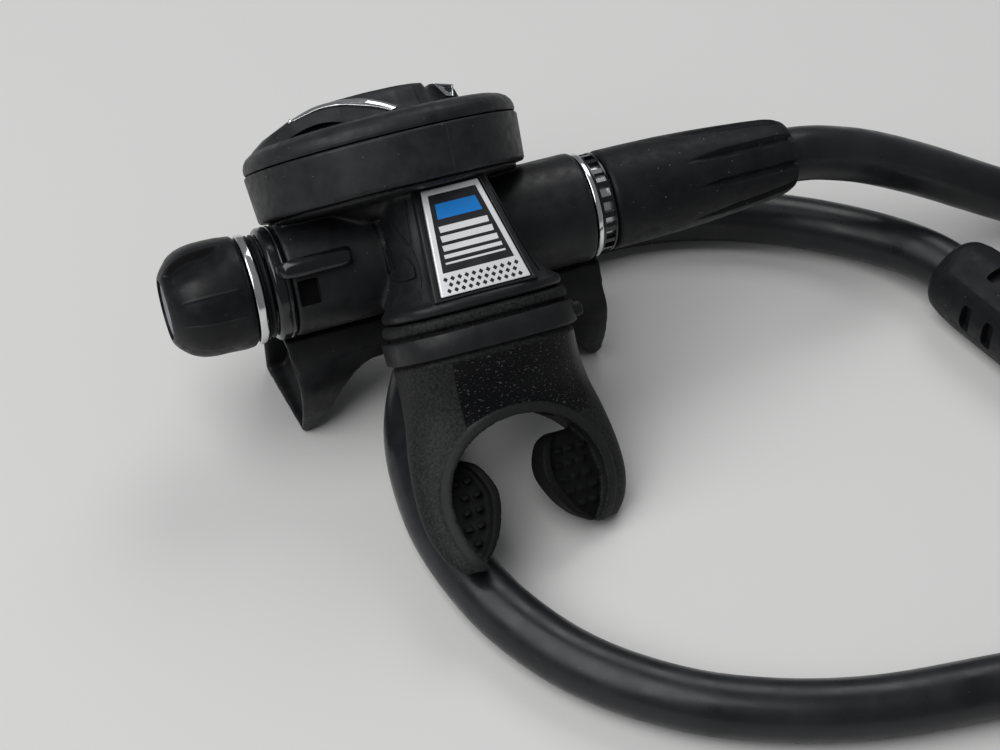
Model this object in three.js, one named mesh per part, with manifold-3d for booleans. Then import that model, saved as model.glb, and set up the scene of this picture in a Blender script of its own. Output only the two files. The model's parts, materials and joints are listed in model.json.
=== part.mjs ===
// A diver's second stage with its low-pressure hose, resting on a flat surface. Millimetres, +Z up.
// The valve barrel lies level along +X. Stage pieces are written as (x, u, w) about the barrel's axis:
// u points to the top of the worn stage, w out through the front cover, and -w out of the mouthpiece.
import * as THREE from "three";
import { mergeVertices } from "three/addons/utils/BufferGeometryUtils.js";
import Module from "manifold-3d";

const wasm = await Module();
wasm.setup();

// Where the stage stands.
const STAGE_X = -15.3;
const STAGE_Y = 16.75;
const AXIS_HEIGHT = 39.2;
const LEAN_DEG = 43.5;
const LEAN = THREE.MathUtils.degToRad(LEAN_DEG);

// Driving sizes.
const GAP = 0.3;
const BARREL_R = 12.3;
const BARREL_LEFT = -31.8;
const BARREL_RIGHT = 36.9;
const COVER_X = -3.6;
const COVER_R = 30.4;
const MOUTH_X = 3.5;
const MOUTH_U = 16.5;
const TUBE_R = 8.3;
const TUBE_BORE = 6.5;
const TUBE_LEFT = -35.9;
const HOSE_R = 6.35;
const HOSE_SIDES = 8;
const HOSE_STEPS = 44;
const SLEEVE_END_X = 88.4;
const TEE_Y = 1.5;
const TEE_TOP = 25.4;
const TEE_WALL = 1.5;
const FAR_X = 124.8;
const FAR_Y = -22.4;
const FAR_Z = 10.4;
const FAR_HEADING_DEG = -75.5;

// Centre line of the hose from the near ferrule to the far one, measured from the foot of the stage.
const HOSE_ROUTE = [
  [69.5, 0, 39.2], [78, 0, 39.2], [86.5, 0, 39], [94.5, 0, 37.9], [102.5, 0, 35.4], [110.5, 0, 32.1],
  [120, -0.1, 27.2], [130, -0.6, 21.7], [138.5, -1.7, 17], [146.5, -3.6, 13.1], [154.5, -6.6, 10],
  [162.5, -11, 7.9], [170.5, -17, 6.7], [178, -25, 6.5], [185.5, -38, 6.4], [189, -53, 6.4],
  [187.9, -68.8, 6.4], [182, -84, 6.4], [172.5, -98.5, 6.4], [160, -111, 6.4], [144.5, -121, 6.4],
  [127, -127.5, 6.4],
  [108, -130.5, 6.4], [90, -130.5, 6.4], [71.8, -128.3, 6.4], [51, -124.9, 6.4], [32.1, -118.6, 6.4],
  [14.9, -109, 6.4], [-0.2, -94.4, 6.4], [-10, -76.5, 6.4], [-14.4, -58, 6.4], [-14.8, -42, 6.4],
  [-12, -25, 6.4], [-5.5, -9.5, 6.4], [4.5, 4.5, 6.4], [17.5, 15, 6.4], [33, 22.2, 6.4], [50, 25.2, 6.4],
  [66.5, 24.2, 6.4], [82, 19.8, 6.4], [96.5, 12.5, 6.5], [108, 3.8, 7], [116.4, -5.8, 8.3],
  [121.7, -14.9, 9.8], [124.8, -22.8, 10.4], [127.8, -34, 10.4], [130.9, -46, 10.4],
];

const look = (color, roughness, metalness = 0) =>
  new THREE.MeshStandardMaterial({ color, roughness, metalness });
const blackPlastic = look(0x1c1d1f, 0.5);
const glossPlastic = look(0x101114, 0.22);
const softRubber = look(0x202124, 0.7);
const silicone = look(0x1b1c1d, 0.55);
const chrome = look(0xc9ccd0, 0.15, 1);
const greyMetal = look(0x8d9094, 0.35, 1);
const brass = look(0xb99b5a, 0.35, 1);
const paleSilicone = look(0xb9bfc4, 0.5);
const plateFinish = look(0xb8bcc2, 0.3, 0.6);

// Closed geometry to a solid, turned right way out, and a solid back to a named mesh.
function solid(geometry) {
  const bare = geometry.index ? geometry.toNonIndexed() : geometry.clone();
  bare.deleteAttribute("normal");
  bare.deleteAttribute("uv");
  const merged = mergeVertices(bare, 1e-4);
  const p = merged.attributes.position.array;
  const t = new Uint32Array(merged.index.array);
  const at = (i) => new THREE.Vector3(p[3 * i], p[3 * i + 1], p[3 * i + 2]);
  let volume = 0;
  for (let i = 0; i < t.length; i += 3) {
    volume += at(t[i]).dot(at(t[i + 1]).cross(at(t[i + 2])));
  }
  if (volume < 0) {
    for (let i = 0; i < t.length; i += 3) [t[i + 1], t[i + 2]] = [t[i + 2], t[i + 1]];
  }
  return new wasm.Manifold(new wasm.Mesh({ numProp: 3, vertProperties: p, triVerts: t }));
}

function piece(name, body, material) {
  const mesh = body.getMesh();
  const geometry = new THREE.BufferGeometry();
  geometry.setAttribute("position", new THREE.BufferAttribute(new Float32Array(mesh.vertProperties), 3));
  geometry.setIndex(new THREE.BufferAttribute(new Uint32Array(mesh.triVerts), 1));
  geometry.computeVertexNormals();
  const made = new THREE.Mesh(geometry, material.clone());
  made.name = name;
  return made;
}

// A stage point (x, u, w) in the stage group's own axes.
const stagePoint = (x, u, w) => new THREE.Vector3(x, -u, w);

// A closed profile of [radius, station] pairs turned about the barrel's axis, the cover's, or a vertical.
function turned(profile, axis, segments = 22) {
  const points = profile.map(([r, s]) => new THREE.Vector2(r, s));
  points.push(points[0].clone());
  const geometry = new THREE.LatheGeometry(points, segments);
  if (axis === "x") geometry.rotateZ(-Math.PI / 2);
  if (axis === "w" || axis === "z") geometry.rotateX(Math.PI / 2);
  return geometry;
}
const turnedX = (profile, segments) => solid(turned(profile, "x", segments));
const turnedW = (profile, x = COVER_X, u = 0, segments = 32) =>
  solid(turned(profile, "w", segments).translate(x, -u, 0));
const washer = (inner, outer, from, to) => [[inner, from], [outer, from], [outer, to], [inner, to]];
const rod = (r, from, to) => [[0, from], [r, from], [r, to], [0, to]];

// Rings of points, each with the same count, joined in turn and closed at both ends.
function loft(rings) {
  const count = rings[0].length;
  const vertices = [];
  const middle = (ring) => ring.reduce((s, q) => s.add(q), new THREE.Vector3()).divideScalar(count);
  rings.forEach((ring) => ring.forEach((q) => vertices.push(q.x, q.y, q.z)));
  [rings[0], rings.at(-1)].forEach((ring) => vertices.push(...middle(ring).toArray()));
  const triangles = [];
  for (let r = 0; r + 1 < rings.length; r++) {
    for (let i = 0; i < count; i++) {
      const j = (i + 1) % count;
      const [a, b, c, d] = [r * count + i, r * count + j, (r + 1) * count + j, (r + 1) * count + i];
      triangles.push(a, b, c, a, c, d);
    }
  }
  const [first, last] = [rings.length * count, rings.length * count + 1];
  const top = (rings.length - 1) * count;
  for (let i = 0; i < count; i++) {
    const j = (i + 1) % count;
    triangles.push(first, j, i, last, top + i, top + j);
  }
  const geometry = new THREE.BufferGeometry();
  geometry.setAttribute("position", new THREE.Float32BufferAttribute(vertices, 3));
  geometry.setIndex(triangles);
  return solid(geometry);
}

// A superellipse ring across the w direction: centre (x, u), half sizes, corner power.
function oval(x, u, w, halfX, halfU, power = 2.6, count = 20) {
  return Array.from({ length: count }, (_, i) => {
    const a = (2 * Math.PI * i) / count;
    const c = Math.cos(a);
    const s = Math.sin(a);
    const px = x + halfX * Math.sign(c) * Math.abs(c) ** (2 / power);
    const pu = u + halfU * Math.sign(s) * Math.abs(s) ** (2 / power);
    return stagePoint(px, pu, w);
  });
}

const portOval = (w, halfX, halfU, power) => oval(MOUTH_X, MOUTH_U, w, halfX, halfU, power);

function block(x0, x1, u0, u1, w0, w1) {
  const geometry = new THREE.BoxGeometry(x1 - x0, u1 - u0, w1 - w0);
  geometry.translate((x0 + x1) / 2, -(u0 + u1) / 2, (w0 + w1) / 2);
  return solid(geometry);
}

// A coil spring along +Z or +X: one unbroken tube of five sides.
function coil(radius, wire, from, to, turns, axis) {
  const steps = turns * 8;
  const rings = [];
  for (let i = 0; i <= steps; i++) {
    const a = (2 * Math.PI * i) / 8;
    const along = from + wire + ((to - from - 2 * wire) * i) / steps;
    const out = new THREE.Vector3(Math.cos(a), Math.sin(a), 0);
    const ring = [];
    for (let k = 0; k < 5; k++) {
      const b = (2 * Math.PI * k) / 5;
      const q = out.clone().multiplyScalar(radius + wire * Math.cos(b));
      q.z = along + wire * Math.sin(b);
      ring.push(axis === "x" ? new THREE.Vector3(q.z, q.y, -q.x) : q);
    }
    rings.push(ring);
  }
  const pitch = (to - from - 2 * wire) / turns;
  console.log(`coil of ${turns} turns: ${(pitch - 2 * wire).toFixed(2)} mm between turns`);
  return loft(rings);
}

// Height of the label face above the barrel's axis, at station w.
const labelU = (w) => 26.4 - 0.4264 * w;

function makeCase() {
  const barrel = turnedX([[0, BARREL_LEFT], [11.8, BARREL_LEFT], [BARREL_R, BARREL_LEFT + 0.6],
    [BARREL_R, BARREL_RIGHT - 0.5], [11.9, BARREL_RIGHT], [0, BARREL_RIGHT]], 28);
  const cup = turnedW([[0, 8], [14, 8], [17, 11.3], [26.6, 11.5], [28.1, 12], [28.1, 12.4],
    [27.4, 12.4], [27.4, 17.2], [0, 17.2]]);
  const body = loft([oval(2.6, 6.2, 12.2, 11.5, 15, 3.4), oval(3, 6.9, 4, 13, 17.6, 3.4),
    oval(MOUTH_X, 10.2, -4, 14.2, 17.6, 3.2), oval(MOUTH_X, 13.6, -9, 16, 16.4, 3),
    portOval(-12.3, 17.9, 15.2, 3)]);
  const ridge = loft([portOval(-12.2, 18.3, 15.6, 3), portOval(-12.8, 18.9, 16.2, 3),
    portOval(-14.1, 18.9, 16.2, 3), portOval(-14.7, 18.3, 15.6, 3)]);
  const port = loft([portOval(-10, 15.8, 12.4), portOval(-23.6, 15.8, 12.4)]);
  const pad = loft([[11.2, 7.3], [-11.9, 11.6]].map(([w, half]) => [
    stagePoint(MOUTH_X - half, labelU(w) - 5, w), stagePoint(MOUTH_X + half, labelU(w) - 5, w),
    stagePoint(MOUTH_X + half - 0.6, labelU(w), w), stagePoint(MOUTH_X - half + 0.6, labelU(w), w)]));
  const outside = barrel.add(cup).add(body).add(ridge).add(port).add(pad).add(exhaustBoss());
  const leverRecess = block(-31, -26.4, 10.5, 13, -6.4, -0.9);
  return outside.subtract(caseHollow()).subtract(leverRecess);
}

// The round outlet under the case stands vertical as the stage lies, so it is made upright and turned back.
const upright = (solidBody) => {
  const away = solidBody.translate([MOUTH_X, TEE_Y, -AXIS_HEIGHT]);
  return away.rotate([LEAN_DEG, 0, 0]);
};
const post = (profile, segments = 24) => upright(solid(turned(profile, "z", segments)));
const exhaustBoss = () => post(rod(9.8, 22.9, 32));

function caseHollow() {
  const cup = turnedW([[0, 12.8], [25.7, 12.8], [25.7, 18], [0, 18]]);
  const pocket = turnedW(rod(13, 8.8, 13), COVER_X, 0, 24);
  const middle = turnedX(rod(10.7, -9.5, 16), 24);
  const left = turnedX(rod(9.6, BARREL_LEFT - 1, -9), 24);
  const right = turnedX(rod(TUBE_R + GAP, 15, BARREL_RIGHT + 1), 24);
  const airway = loft([oval(MOUTH_X, 6, 2, 10.5, 8), oval(MOUTH_X, 12, -5, 12.4, 9),
    portOval(-13, 13.6, 10.2), portOval(-24.5, 13.6, 10.2)]);
  const outlet = post(rod(8.2, 22, 31)).subtract(post(washer(0.9, 2.2, 23, 24.4), 12))
    .subtract(spokes());
  return cup.add(pocket).add(middle).add(left).add(right).add(airway).add(outlet);
}

// Three spokes that hold the exhaust valve's stem in the middle of its seat.
function spokes() {
  const arms = [0, 1, 2].map((k) => {
    const bar = solid(new THREE.BoxGeometry(9.4, 1.6, 1.4).translate(5.9, 0, 23.7));
    return upright(bar.rotate([0, 0, 90 + 120 * k]));
  });
  return arms[0].add(arms[1]).add(arms[2]);
}

// Front cover, its ring and the button.
function makeCoverRing() {
  return turnedW([[27.9, 12.8], [29.7, 12.8], [30, 13.2], [30.6, 23], [30.4, 23.5], [25.4, 23.5],
    [25.4, 19.4], [27.9, 19.4]]);
}

// The cover's raised middle runs out to the edge on the knob side and ends steeply on the hose side:
// each station from the cover's middle, its half width at the top and its height.
const RAISED_MIDDLE = [[-26, 3, 29.6], [-24, 6, 30.6], [-20.3, 9.2, 32.1], [-15.5, 12, 33.3],
  [-10.9, 13.4, 33.8], [-4, 14.2, 33.9], [2, 14.2, 33.8], [7, 12.4, 33.7], [10, 9.6, 33.5],
  [12, 6.4, 33.3], [17.4, 4.8, 32.3], [18.4, 4.2, 31.4], [19.2, 3.2, 29.2]];
const FLANK = 1.4;

function makeFrontCover() {
  const shell = turnedW([[25.1, 20.2], [25.1, 23.8], [COVER_R, 23.8], [30.2, 25.6], [29, 27.2], [27, 28.2],
    [22, 28.9], [17.2, 29.2], [13.4, 33], [10.9, 33.8], [10.9, 31.2], [14.6, 27.4], [23.2, 25.8],
    [23.2, 22], [4.6, 22], [4.6, 20.2]]);
  const holes = Array.from({ length: 6 }, (_, k) => {
    const a = (Math.PI * (2 * k + 1)) / 6;
    return turnedW(rod(2.8, 19, 23.5), COVER_X + 15 * Math.cos(a), 15 * Math.sin(a), 10);
  });
  const vents = [-1, 1].flatMap((side) => [-1, 1].map((end) => {
    const lens = new THREE.SphereGeometry(1, 10, 6);
    lens.scale(6.6, 1.5, 5);
    lens.rotateZ(-side * end * 0.3);
    lens.translate(COVER_X + end * 15.6, side * 14.4, 28.4);
    return solid(lens);
  }));
  const middle = loft(RAISED_MIDDLE.map(([x, half, top]) => [
    stagePoint(COVER_X + x, -half - FLANK, 27.6), stagePoint(COVER_X + x, half + FLANK, 27.6),
    stagePoint(COVER_X + x, half, top - 0.7), stagePoint(COVER_X + x, half * 0.8, top),
    stagePoint(COVER_X + x, -half * 0.8, top), stagePoint(COVER_X + x, -half, top - 0.7)]));
  const well = turnedW([[0, 27], [10.9, 27], [10.9, 36], [0, 36]], COVER_X, 0, 24);
  return [...holes, ...vents, well].reduce((body, cut) => body.subtract(cut), shell.add(middle));
}

const makeButton = () => turnedW([[0, 19], [3.2, 19], [3.2, 29.6], [8.4, 29.8], [10.5, 31],
  [10.5, 33.3], [9.6, 34.2], [6, 34.7], [0, 34.8]], COVER_X, 0, 24);

// A bright sweep on the side of the raised middle, as stations of x, u, upper edge and lower edge.
const SWEEP = [[-19.4, 11.1, 32.3, 31.9], [-14.3, 13.6, 33.2, 32.1], [-10.3, 15, 33.2, 31.9],
  [-5.4, 16.1, 32.7, 31], [-1.5, 17.3, 31.5, 29.9], [1.6, 18.4, 30.3, 29.5]];
const makeCoverTrim = () => loft(SWEEP.map(([x, u, high, low]) => [
  stagePoint(COVER_X + x, u - 0.3, high), stagePoint(COVER_X + x, u + 0.4, high),
  stagePoint(COVER_X + x, u + 1, low), stagePoint(COVER_X + x, u + 0.2, low)]));

// A bright wedge on the side of the raised middle, wide at the top and narrow at the cover's face.
function makeButtonTrim() {
  const corners = [[13, 33.4], [18, 32.4], [17, 29.8], [15.2, 30.2]];
  return loft([6.9, 7.7].map((u) => corners.map(([x, w]) => stagePoint(COVER_X + x, u, w))));
}

// Demand valve: diaphragm, lever, poppet and their barrel.
const makeDiaphragm = () => turnedW([[0, 17.8], [13, 17.8], [16, 18.3], [19, 17.8], [22.5, 17.5],
  [27.2, 17.5], [27.2, 19.1], [24.2, 19.1], [23.6, 18.3], [19, 18.5], [16, 19], [13, 18.5],
  [0, 18.5]], COVER_X, 0, 24);

const makeDiaphragmDisc = () => turnedW([[0, 16.4], [11, 16.4], [11.4, 16.8], [11, 17.4], [0, 17.4]],
  COVER_X, 0, 20);

function makeDemandLever() {
  const side = new THREE.Shape();
  const outline = [[10.5, 7.1], [8.9, 7.1], [7.6, 10.3], [-2.4, 14.7], [-4.6, 14.7], [-4.6, 15.5],
    [-2.2, 15.7], [8.4, 11.3]];
  outline.forEach(([x, w], i) => (i ? side.lineTo(x, w) : side.moveTo(x, w)));
  const strip = new THREE.ExtrudeGeometry(side, { depth: 4.4, bevelEnabled: false });
  strip.rotateX(Math.PI / 2).translate(0, 2.2, 0);
  return solid(strip);
}

function makeValveBarrel() {
  const tube = turnedX([[0, TUBE_LEFT], [TUBE_R, TUBE_LEFT], [TUBE_R, 42.1], [7, 42.1], [7, 49.2],
    [6.6, 49.6], [0, 49.6]], 22);
  const bore = turnedX([[0, TUBE_LEFT - 1], [TUBE_BORE, TUBE_LEFT - 1], [TUBE_BORE, 36], [3, 37],
    [3, 50.5], [0, 50.5]], 22);
  const slot = block(3.5, 12.5, -3.2, 3.2, 4, 12);
  const outlet = block(-4, 14, 3.4, 12, -12, -2.4);
  return tube.subtract(bore).subtract(slot).subtract(outlet);
}

const makeOrifice = () => turnedX([[2.2, 22.9], [2.9, 22.7], [3.6, 23.8], [6.1, 24.4], [6.1, 29.2],
  [5, 29.2], [5, 31.2], [6.1, 31.2], [6.1, 35.6], [2.2, 35.6]], 18);
const makeOrificeOring = () => turnedX([[5.3, 29.6], [6.1, 29.5], [6.35, 30.2], [6.1, 30.9],
  [5.3, 30.8]], 18);
const makePoppet = () => turnedX([[0, -8], [1.7, -8], [1.8, 8.6], [5.9, 8.7], [5.9, 11.8], [4.8, 12.2],
  [4.8, 20.5], [0, 20.5]], 16);
const makePoppetSeat = () => turnedX(rod(4.1, 20.8, 22.3), 16);
const makeBalanceChamber = () => turnedX([[2.1, -14.2], [0, -14.2], [0, -14.8], [5.8, -14.8],
  [5.8, -7], [2.1, -7]], 16);
const makeAdjusterStem = () => turnedX([[0, -52], [3.1, -52], [3.1, -22.4], [5.9, -22], [5.9, -20.8],
  [5.1, -20.8], [5.1, -19.2], [5.9, -19.2], [5.9, -18], [0, -18]], 18);
const makeAdjusterOring = () => turnedX([[5.35, -20.5], [6, -20.5], [6.3, -20], [6, -19.5],
  [5.35, -19.5]], 18);

// Knob side of the barrel. Three wide scoops run along the knob.
const SCOOPS = 3;
const SCOOP_TURN = THREE.MathUtils.degToRad(40);
function makeKnob() {
  const stations = [[-40.5, 12, 0], [-41.4, 12.3, 0.2], [-45, 12.5, 0.9], [-50, 12.4, 1.4],
    [-53.5, 11.5, 1.3], [-56, 9.6, 0.6], [-57.8, 7.5, 0]];
  const rings = stations.map(([x, r, depth]) => Array.from({ length: 36 }, (_, i) => {
    const a = (2 * Math.PI * i) / 36;
    const scoop = Math.max(0, Math.cos(SCOOPS * (a - SCOOP_TURN))) * depth;
    return new THREE.Vector3(x, -(r - scoop) * Math.sin(a), (r - scoop) * Math.cos(a));
  }));
  const bore = turnedX(rod(3.5, -54.6, -40), 16);
  const recess = turnedX(rod(6.6, -58.5, -56), 22);
  return loft(rings).subtract(bore).subtract(recess);
}

const makeKnobCap = () => turnedX([[0, -57.7], [5.6, -57.7], [6.3, -57.3], [6.3, -56.3],
  [0, -56.3]], 20);
const makeKnobRing = () => turnedX([[8.2, -40.2], [11.7, -40.2], [11.95, -39.9], [11.95, -38.6],
  [11.7, -38.3], [8.2, -38.3]], 24);
const makePackingNut = () => turnedX([[3.5, -38], [11.1, -38], [11.4, -37.7], [10.7, -37.2],
  [11.4, -36.7], [11.2, -36.3], [6.1, -36.3], [6.1, -31.5], [3.5, -31.5]], 24);

function makeDiveLever() {
  const ring = turnedX([[9.8, -35.9], [12, -35.9], [12.4, -35.3], [12.4, -32.7], [12.1, -32.1],
    [9.8, -32.1]], 28);
  const arm = loft([[-33.5, 12.4], [-29, 12.9], [-19.6, 12.9], [-18.6, 13.1]].map(([x, low], i) => {
    const high = [14.2, 14.6, 14.6, 14.2][i];
    const half = [1.5, 1.9, 1.9, 1.6][i];
    return [stagePoint(x, low, 1.9 - half), stagePoint(x, high, 1.9 - half * 0.7),
      stagePoint(x, high, 1.9 + half * 0.7), stagePoint(x, low, 1.9 + half)];
  }));
  const foot = block(-34.5, -32.2, 11, 13.2, 0.6, 3.2);
  return ring.add(arm).add(foot);
}

function makeVane() {
  const sleeve = turnedX(washer(8.6, 9.3, TUBE_LEFT, -10), 24);
  const blade = turnedX(washer(8.7, 10.2, -9.2, 6), 24)
    .intersect(block(-9.5, 6, -3, 11, -12, -3.4));
  const neck = turnedX(washer(8.7, 9.3, -11, -9), 24).intersect(block(-11, -9, -3, 11, -12, -3.4));
  return sleeve.add(neck).add(blade);
}

// Hose side of the barrel.
const makeInletRing = () => turnedX([[TUBE_R + GAP, 37.2], [11.5, 37.2], [11.7, 37.4], [11.7, 38.2],
  [11.5, 38.4], [TUBE_R + GAP, 38.4]], 24);

function makeHeatRing() {
  const teeth = 20;
  const gear = new THREE.Shape();
  for (let i = 0; i < teeth * 4; i++) {
    const a = (2 * Math.PI * (i + (i % 2 ? 0.25 : -0.25))) / (teeth * 4);
    const r = i % 4 < 2 ? 11.2 : 9.9;
    const [x, y] = [r * Math.cos(a), r * Math.sin(a)];
    if (i) gear.lineTo(x, y);
    else gear.moveTo(x, y);
  }
  const wheel = new THREE.ExtrudeGeometry(gear, { depth: 3.3, bevelEnabled: false });
  const fins = solid(wheel.rotateY(Math.PI / 2).translate(38.7, 0, 0));
  const bore = turnedX(rod(TUBE_R + GAP, 38, 43), 20);
  return fins.subtract(bore);
}

function hexRing(across, from, to) {
  const corner = across / Math.sqrt(3);
  const geometry = new THREE.CylinderGeometry(corner, corner, to - from, 6);
  return solid(geometry.rotateZ(-Math.PI / 2).translate((from + to) / 2, 0, 0));
}

const makeSwivelNut = () => hexRing(16, 43, 55).subtract(turnedX([[0, 42], [7.3, 42], [7.3, 51],
  [3.9, 51], [3.9, 56], [0, 56]], 18));
const makeSwivelOring = () => turnedX([[3.3, 49.9], [4.6, 49.9], [4.8, 50.3], [4.6, 50.7],
  [3.3, 50.7]], 16);
const makeHoseStem = () => turnedX([[2, 48], [2.7, 48], [2.7, 49.4], [3.5, 51.2], [3.5, 69],
  [2, 69]], 16);
const makeNearFerrule = () => turnedX(washer(3.8, 7.5, 56.8, 69.2), 20);

function makeHoseProtector() {
  return turnedX([[9.6, 42.5], [10.8, 42.5], [11.3, 43.2], [11.1, 58], [10.2, 73], [9.3, 82],
    [8.8, 86], [7.7, SLEEVE_END_X], [7.3, SLEEVE_END_X], [6.9, 80], [6.9, 70], [7.8, 69.5],
    [7.8, 56.4], [9.6, 56.4]], 24);
}

// Mouthpiece: soft, so it is bent up where it lies over the hose.
const LIFT_RIGHT = -1.1;
const LIFT_LEFT = 19.4;
const MOUTH_BEND_FROM = -28;
const MOUTH_END = -66;
function bent(x, u, w) {
  const along = Math.max(0, (MOUTH_BEND_FROM - w) / (MOUTH_BEND_FROM - MOUTH_END));
  const side = THREE.MathUtils.clamp((MOUTH_X + 21 - x) / 42, 0, 1);
  const lift = THREE.MathUtils.lerp(LIFT_RIGHT, LIFT_LEFT, side * side * (3 - 2 * side));
  return stagePoint(x, u + lift * along ** 1.5, w);
}

const bentOval = (w, halfX, halfU, power = 2.8) =>
  oval(MOUTH_X, MOUTH_U, w, halfX, halfU, power).map((q) => bent(q.x, -q.y, q.z));

// Half width of the inner arch at station w.
const ARCH_TOP = -38.6;
const ARCH_WIDE = -56;
const ARCH_HALF = 18.6;
const archHalf = (w) => {
  const c = THREE.MathUtils.clamp((w - ARCH_WIDE) / (ARCH_TOP - ARCH_WIDE), -1, 1);
  return ARCH_HALF * Math.sqrt(Math.max(0.02, 1 - c * c));
};

// The arch between the two arms, cut straight through.
function makeArch() {
  const shape = new THREE.Shape();
  const count = 12;
  const points = Array.from({ length: count + 1 }, (_, i) => {
    const a = (-0.62 + (1.62 * i) / count) * Math.PI * 0.5;
    return [ARCH_HALF * Math.cos(a), ARCH_WIDE + (ARCH_TOP - ARCH_WIDE) * Math.sin(a)];
  });
  const right = [[points[0][0], -80], ...points];
  const left = right.map(([x, w]) => [-x, w]).reverse().slice(1);
  [...right, ...left].forEach(([x, w], i) => (i ? shape.lineTo(x, w) : shape.moveTo(x, w)));
  const cutter = new THREE.ExtrudeGeometry(shape, { depth: 90, bevelEnabled: false });
  cutter.rotateX(Math.PI / 2).translate(MOUTH_X, 15, 0);
  return solid(cutter);
}

function makeTab(side) {
  const shy = side < 0 ? 3 : 0;
  const stations = [[-45.6, 9.6, 1.1], [-47.5, 7, 1.7], [-53, 5.2, 1.8], [-59, 7.2, 1.8],
    [-63.5, 10.6, 1.6], [-66, 14.2, 1.1]];
  const lipHalf = [2, 4, 5.2, 5, 3.8, 1.8];
  const slab = loft(stations.map(([w, inner, half]) => {
    const outer = archHalf(w) + 1.2;
    return [[inner + shy, -half], [outer, -half], [outer, half], [inner + shy, half]].map(([x, h]) =>
      bent(MOUTH_X + side * x, MOUTH_U + h, w));
  }));
  const lip = loft(stations.map(([w, inner], i) => {
    const half = lipHalf[i];
    const [near, far] = [inner + shy - 0.9, inner + shy + 1.1];
    return [[near, -half], [far, -half], [far, half], [near, half]].map(([x, h]) =>
      bent(MOUTH_X + side * x, MOUTH_U + h, w));
  }));
  return slab.add(lip);
}

function makeMouthpiece() {
  const body = loft([bentOval(-15, 19, 15.2), bentOval(-15.6, 19.7, 15.9), bentOval(-17.2, 19.7, 15.9),
    bentOval(-17.9, 18.6, 14.8), bentOval(-23.7, 18.6, 14.8), bentOval(-24.3, 19.4, 15.2),
    bentOval(-30, 19.7, 13.4, 2.5), bentOval(-36, 20.7, 11.2, 2.3), bentOval(-42, 22.4, 9.8, 2.2),
    bentOval(-50, 24, 9, 2.1), bentOval(-57, 24.4, 8.2, 2.1), bentOval(-62, 23.4, 7, 2.1),
    bentOval(-65, 21.8, 5.4, 2.1), bentOval(-66.6, 20.4, 3.4, 2.1)]);
  const sleeve = loft([bentOval(-14, 16.1, 12.7), bentOval(-23.9, 16.1, 12.7)]);
  const airway = loft([bentOval(-23.7, 14.4, 11), bentOval(-30, 14, 9.4), bentOval(-36, 12.8, 7.4),
    bentOval(-42, 12.4, 6.4)]);
  const arms = body.subtract(makeArch());
  return arms.add(makeTab(-1)).add(makeTab(1)).subtract(sleeve).subtract(airway);
}

function makeClamp() {
  const band = loft([portOval(-18.3, 20, 16.2, 2.8), portOval(-18.8, 20.4, 16.6, 2.8),
    portOval(-22.8, 20.4, 16.6, 2.8), portOval(-23.3, 20, 16.2, 2.8)]);
  const inside = loft([portOval(-17, 18.95, 15.15, 2.8), portOval(-25, 18.95, 15.15, 2.8)]);
  const tail = block(MOUTH_X + 17.8, MOUTH_X + 21.6, MOUTH_U + 4.4, MOUTH_U + 8, -22.4, -19.2);
  return band.add(tail).subtract(inside);
}

function makeLabelPlate() {
  const stations = [[10.9, 6.3], [-11.3, 9.8]];
  return loft(stations.map(([w, half]) => {
    const foot = labelU(w) + GAP;
    return [stagePoint(MOUTH_X - half, foot, w), stagePoint(MOUTH_X + half, foot, w),
      stagePoint(MOUTH_X + half - 0.3, foot + 0.9, w), stagePoint(MOUTH_X - half + 0.3, foot + 0.9, w)];
  }));
}

// Exhaust: soft valve and the tee, an arch whose two ends stand on the table.
const makeExhaustValve = () => solid(turned([[0, 21.1], [8.6, 21.9], [9.2, 22.1], [9.2, 22.6], [0.7, 22.5],
  [0.6, 25.2], [0, 25.4]], "z", 20));

// The tee is lofted along x from sections in y and z: front edge, back edge and the arch beneath.
const TEE_FRONT = [[0, -10], [2, -11.2], [9, -13.6], [15.7, -14.2], [19, -12.4], [22, -8.9],
  [25.4, -6.4]];
const TEE_ARCH = [[38.5, 0], [34.6, 0], [33.4, 1.4], [31.6, 5], [27.6, 10.6], [23.2, 14.9], [19, 17.2],
  [13, 17.9], [0, 17.9]];
const TEE_BACK = 12.6;

// Value at x of a list of [x, value] pairs in rising or falling order of x.
function between(pairs, x) {
  const rows = pairs[0][0] < pairs.at(-1)[0] ? pairs : [...pairs].reverse();
  if (x <= rows[0][0]) return rows[0][1];
  const i = rows.findIndex(([edge]) => edge >= x);
  if (i < 0) return rows.at(-1)[1];
  const [[x0, v0], [x1, v1]] = [rows[i - 1], rows[i]];
  return THREE.MathUtils.lerp(v0, v1, (x - x0) / (x1 - x0));
}

function teeSection(x, wall) {
  const low = Math.max(wall, between(TEE_ARCH, Math.abs(x)) + wall);
  const top = TEE_TOP - wall;
  const levels = [0, 0.1, 0.35, 0.65, 0.85, 1].map((f) => THREE.MathUtils.lerp(low, top, f));
  const bulge = THREE.MathUtils.smoothstep(Math.abs(x), 20, 36);
  const front = levels.map((z) => {
    const outward = between(TEE_FRONT, z);
    return [THREE.MathUtils.lerp(Math.max(-10, outward), outward, bulge) + wall, z];
  });
  const back = [[TEE_BACK - wall - 3, top], [TEE_BACK - wall, top - 3], [TEE_BACK - wall, low]];
  return [...front, ...back].map(([y, z]) => {
    const slope = Math.abs(x) > 36 && !wall ? Math.max(0, 6 - y) * 0.1 : 0;
    const toe = slope && y < 0 ? Math.max(0, 2 - z) * 0.5 : 0;
    return new THREE.Vector3(x - Math.sign(x) * (slope + toe), y, z);
  });
}

function teeBody(wall, end) {
  const half = [end, 34.6, 33.4, 31.6, 27.6, 23.2, 19, 13];
  const stations = [...half.map((x) => -x), ...half.reverse()];
  return loft(stations.map((x) => teeSection(x, wall)));
}

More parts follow.
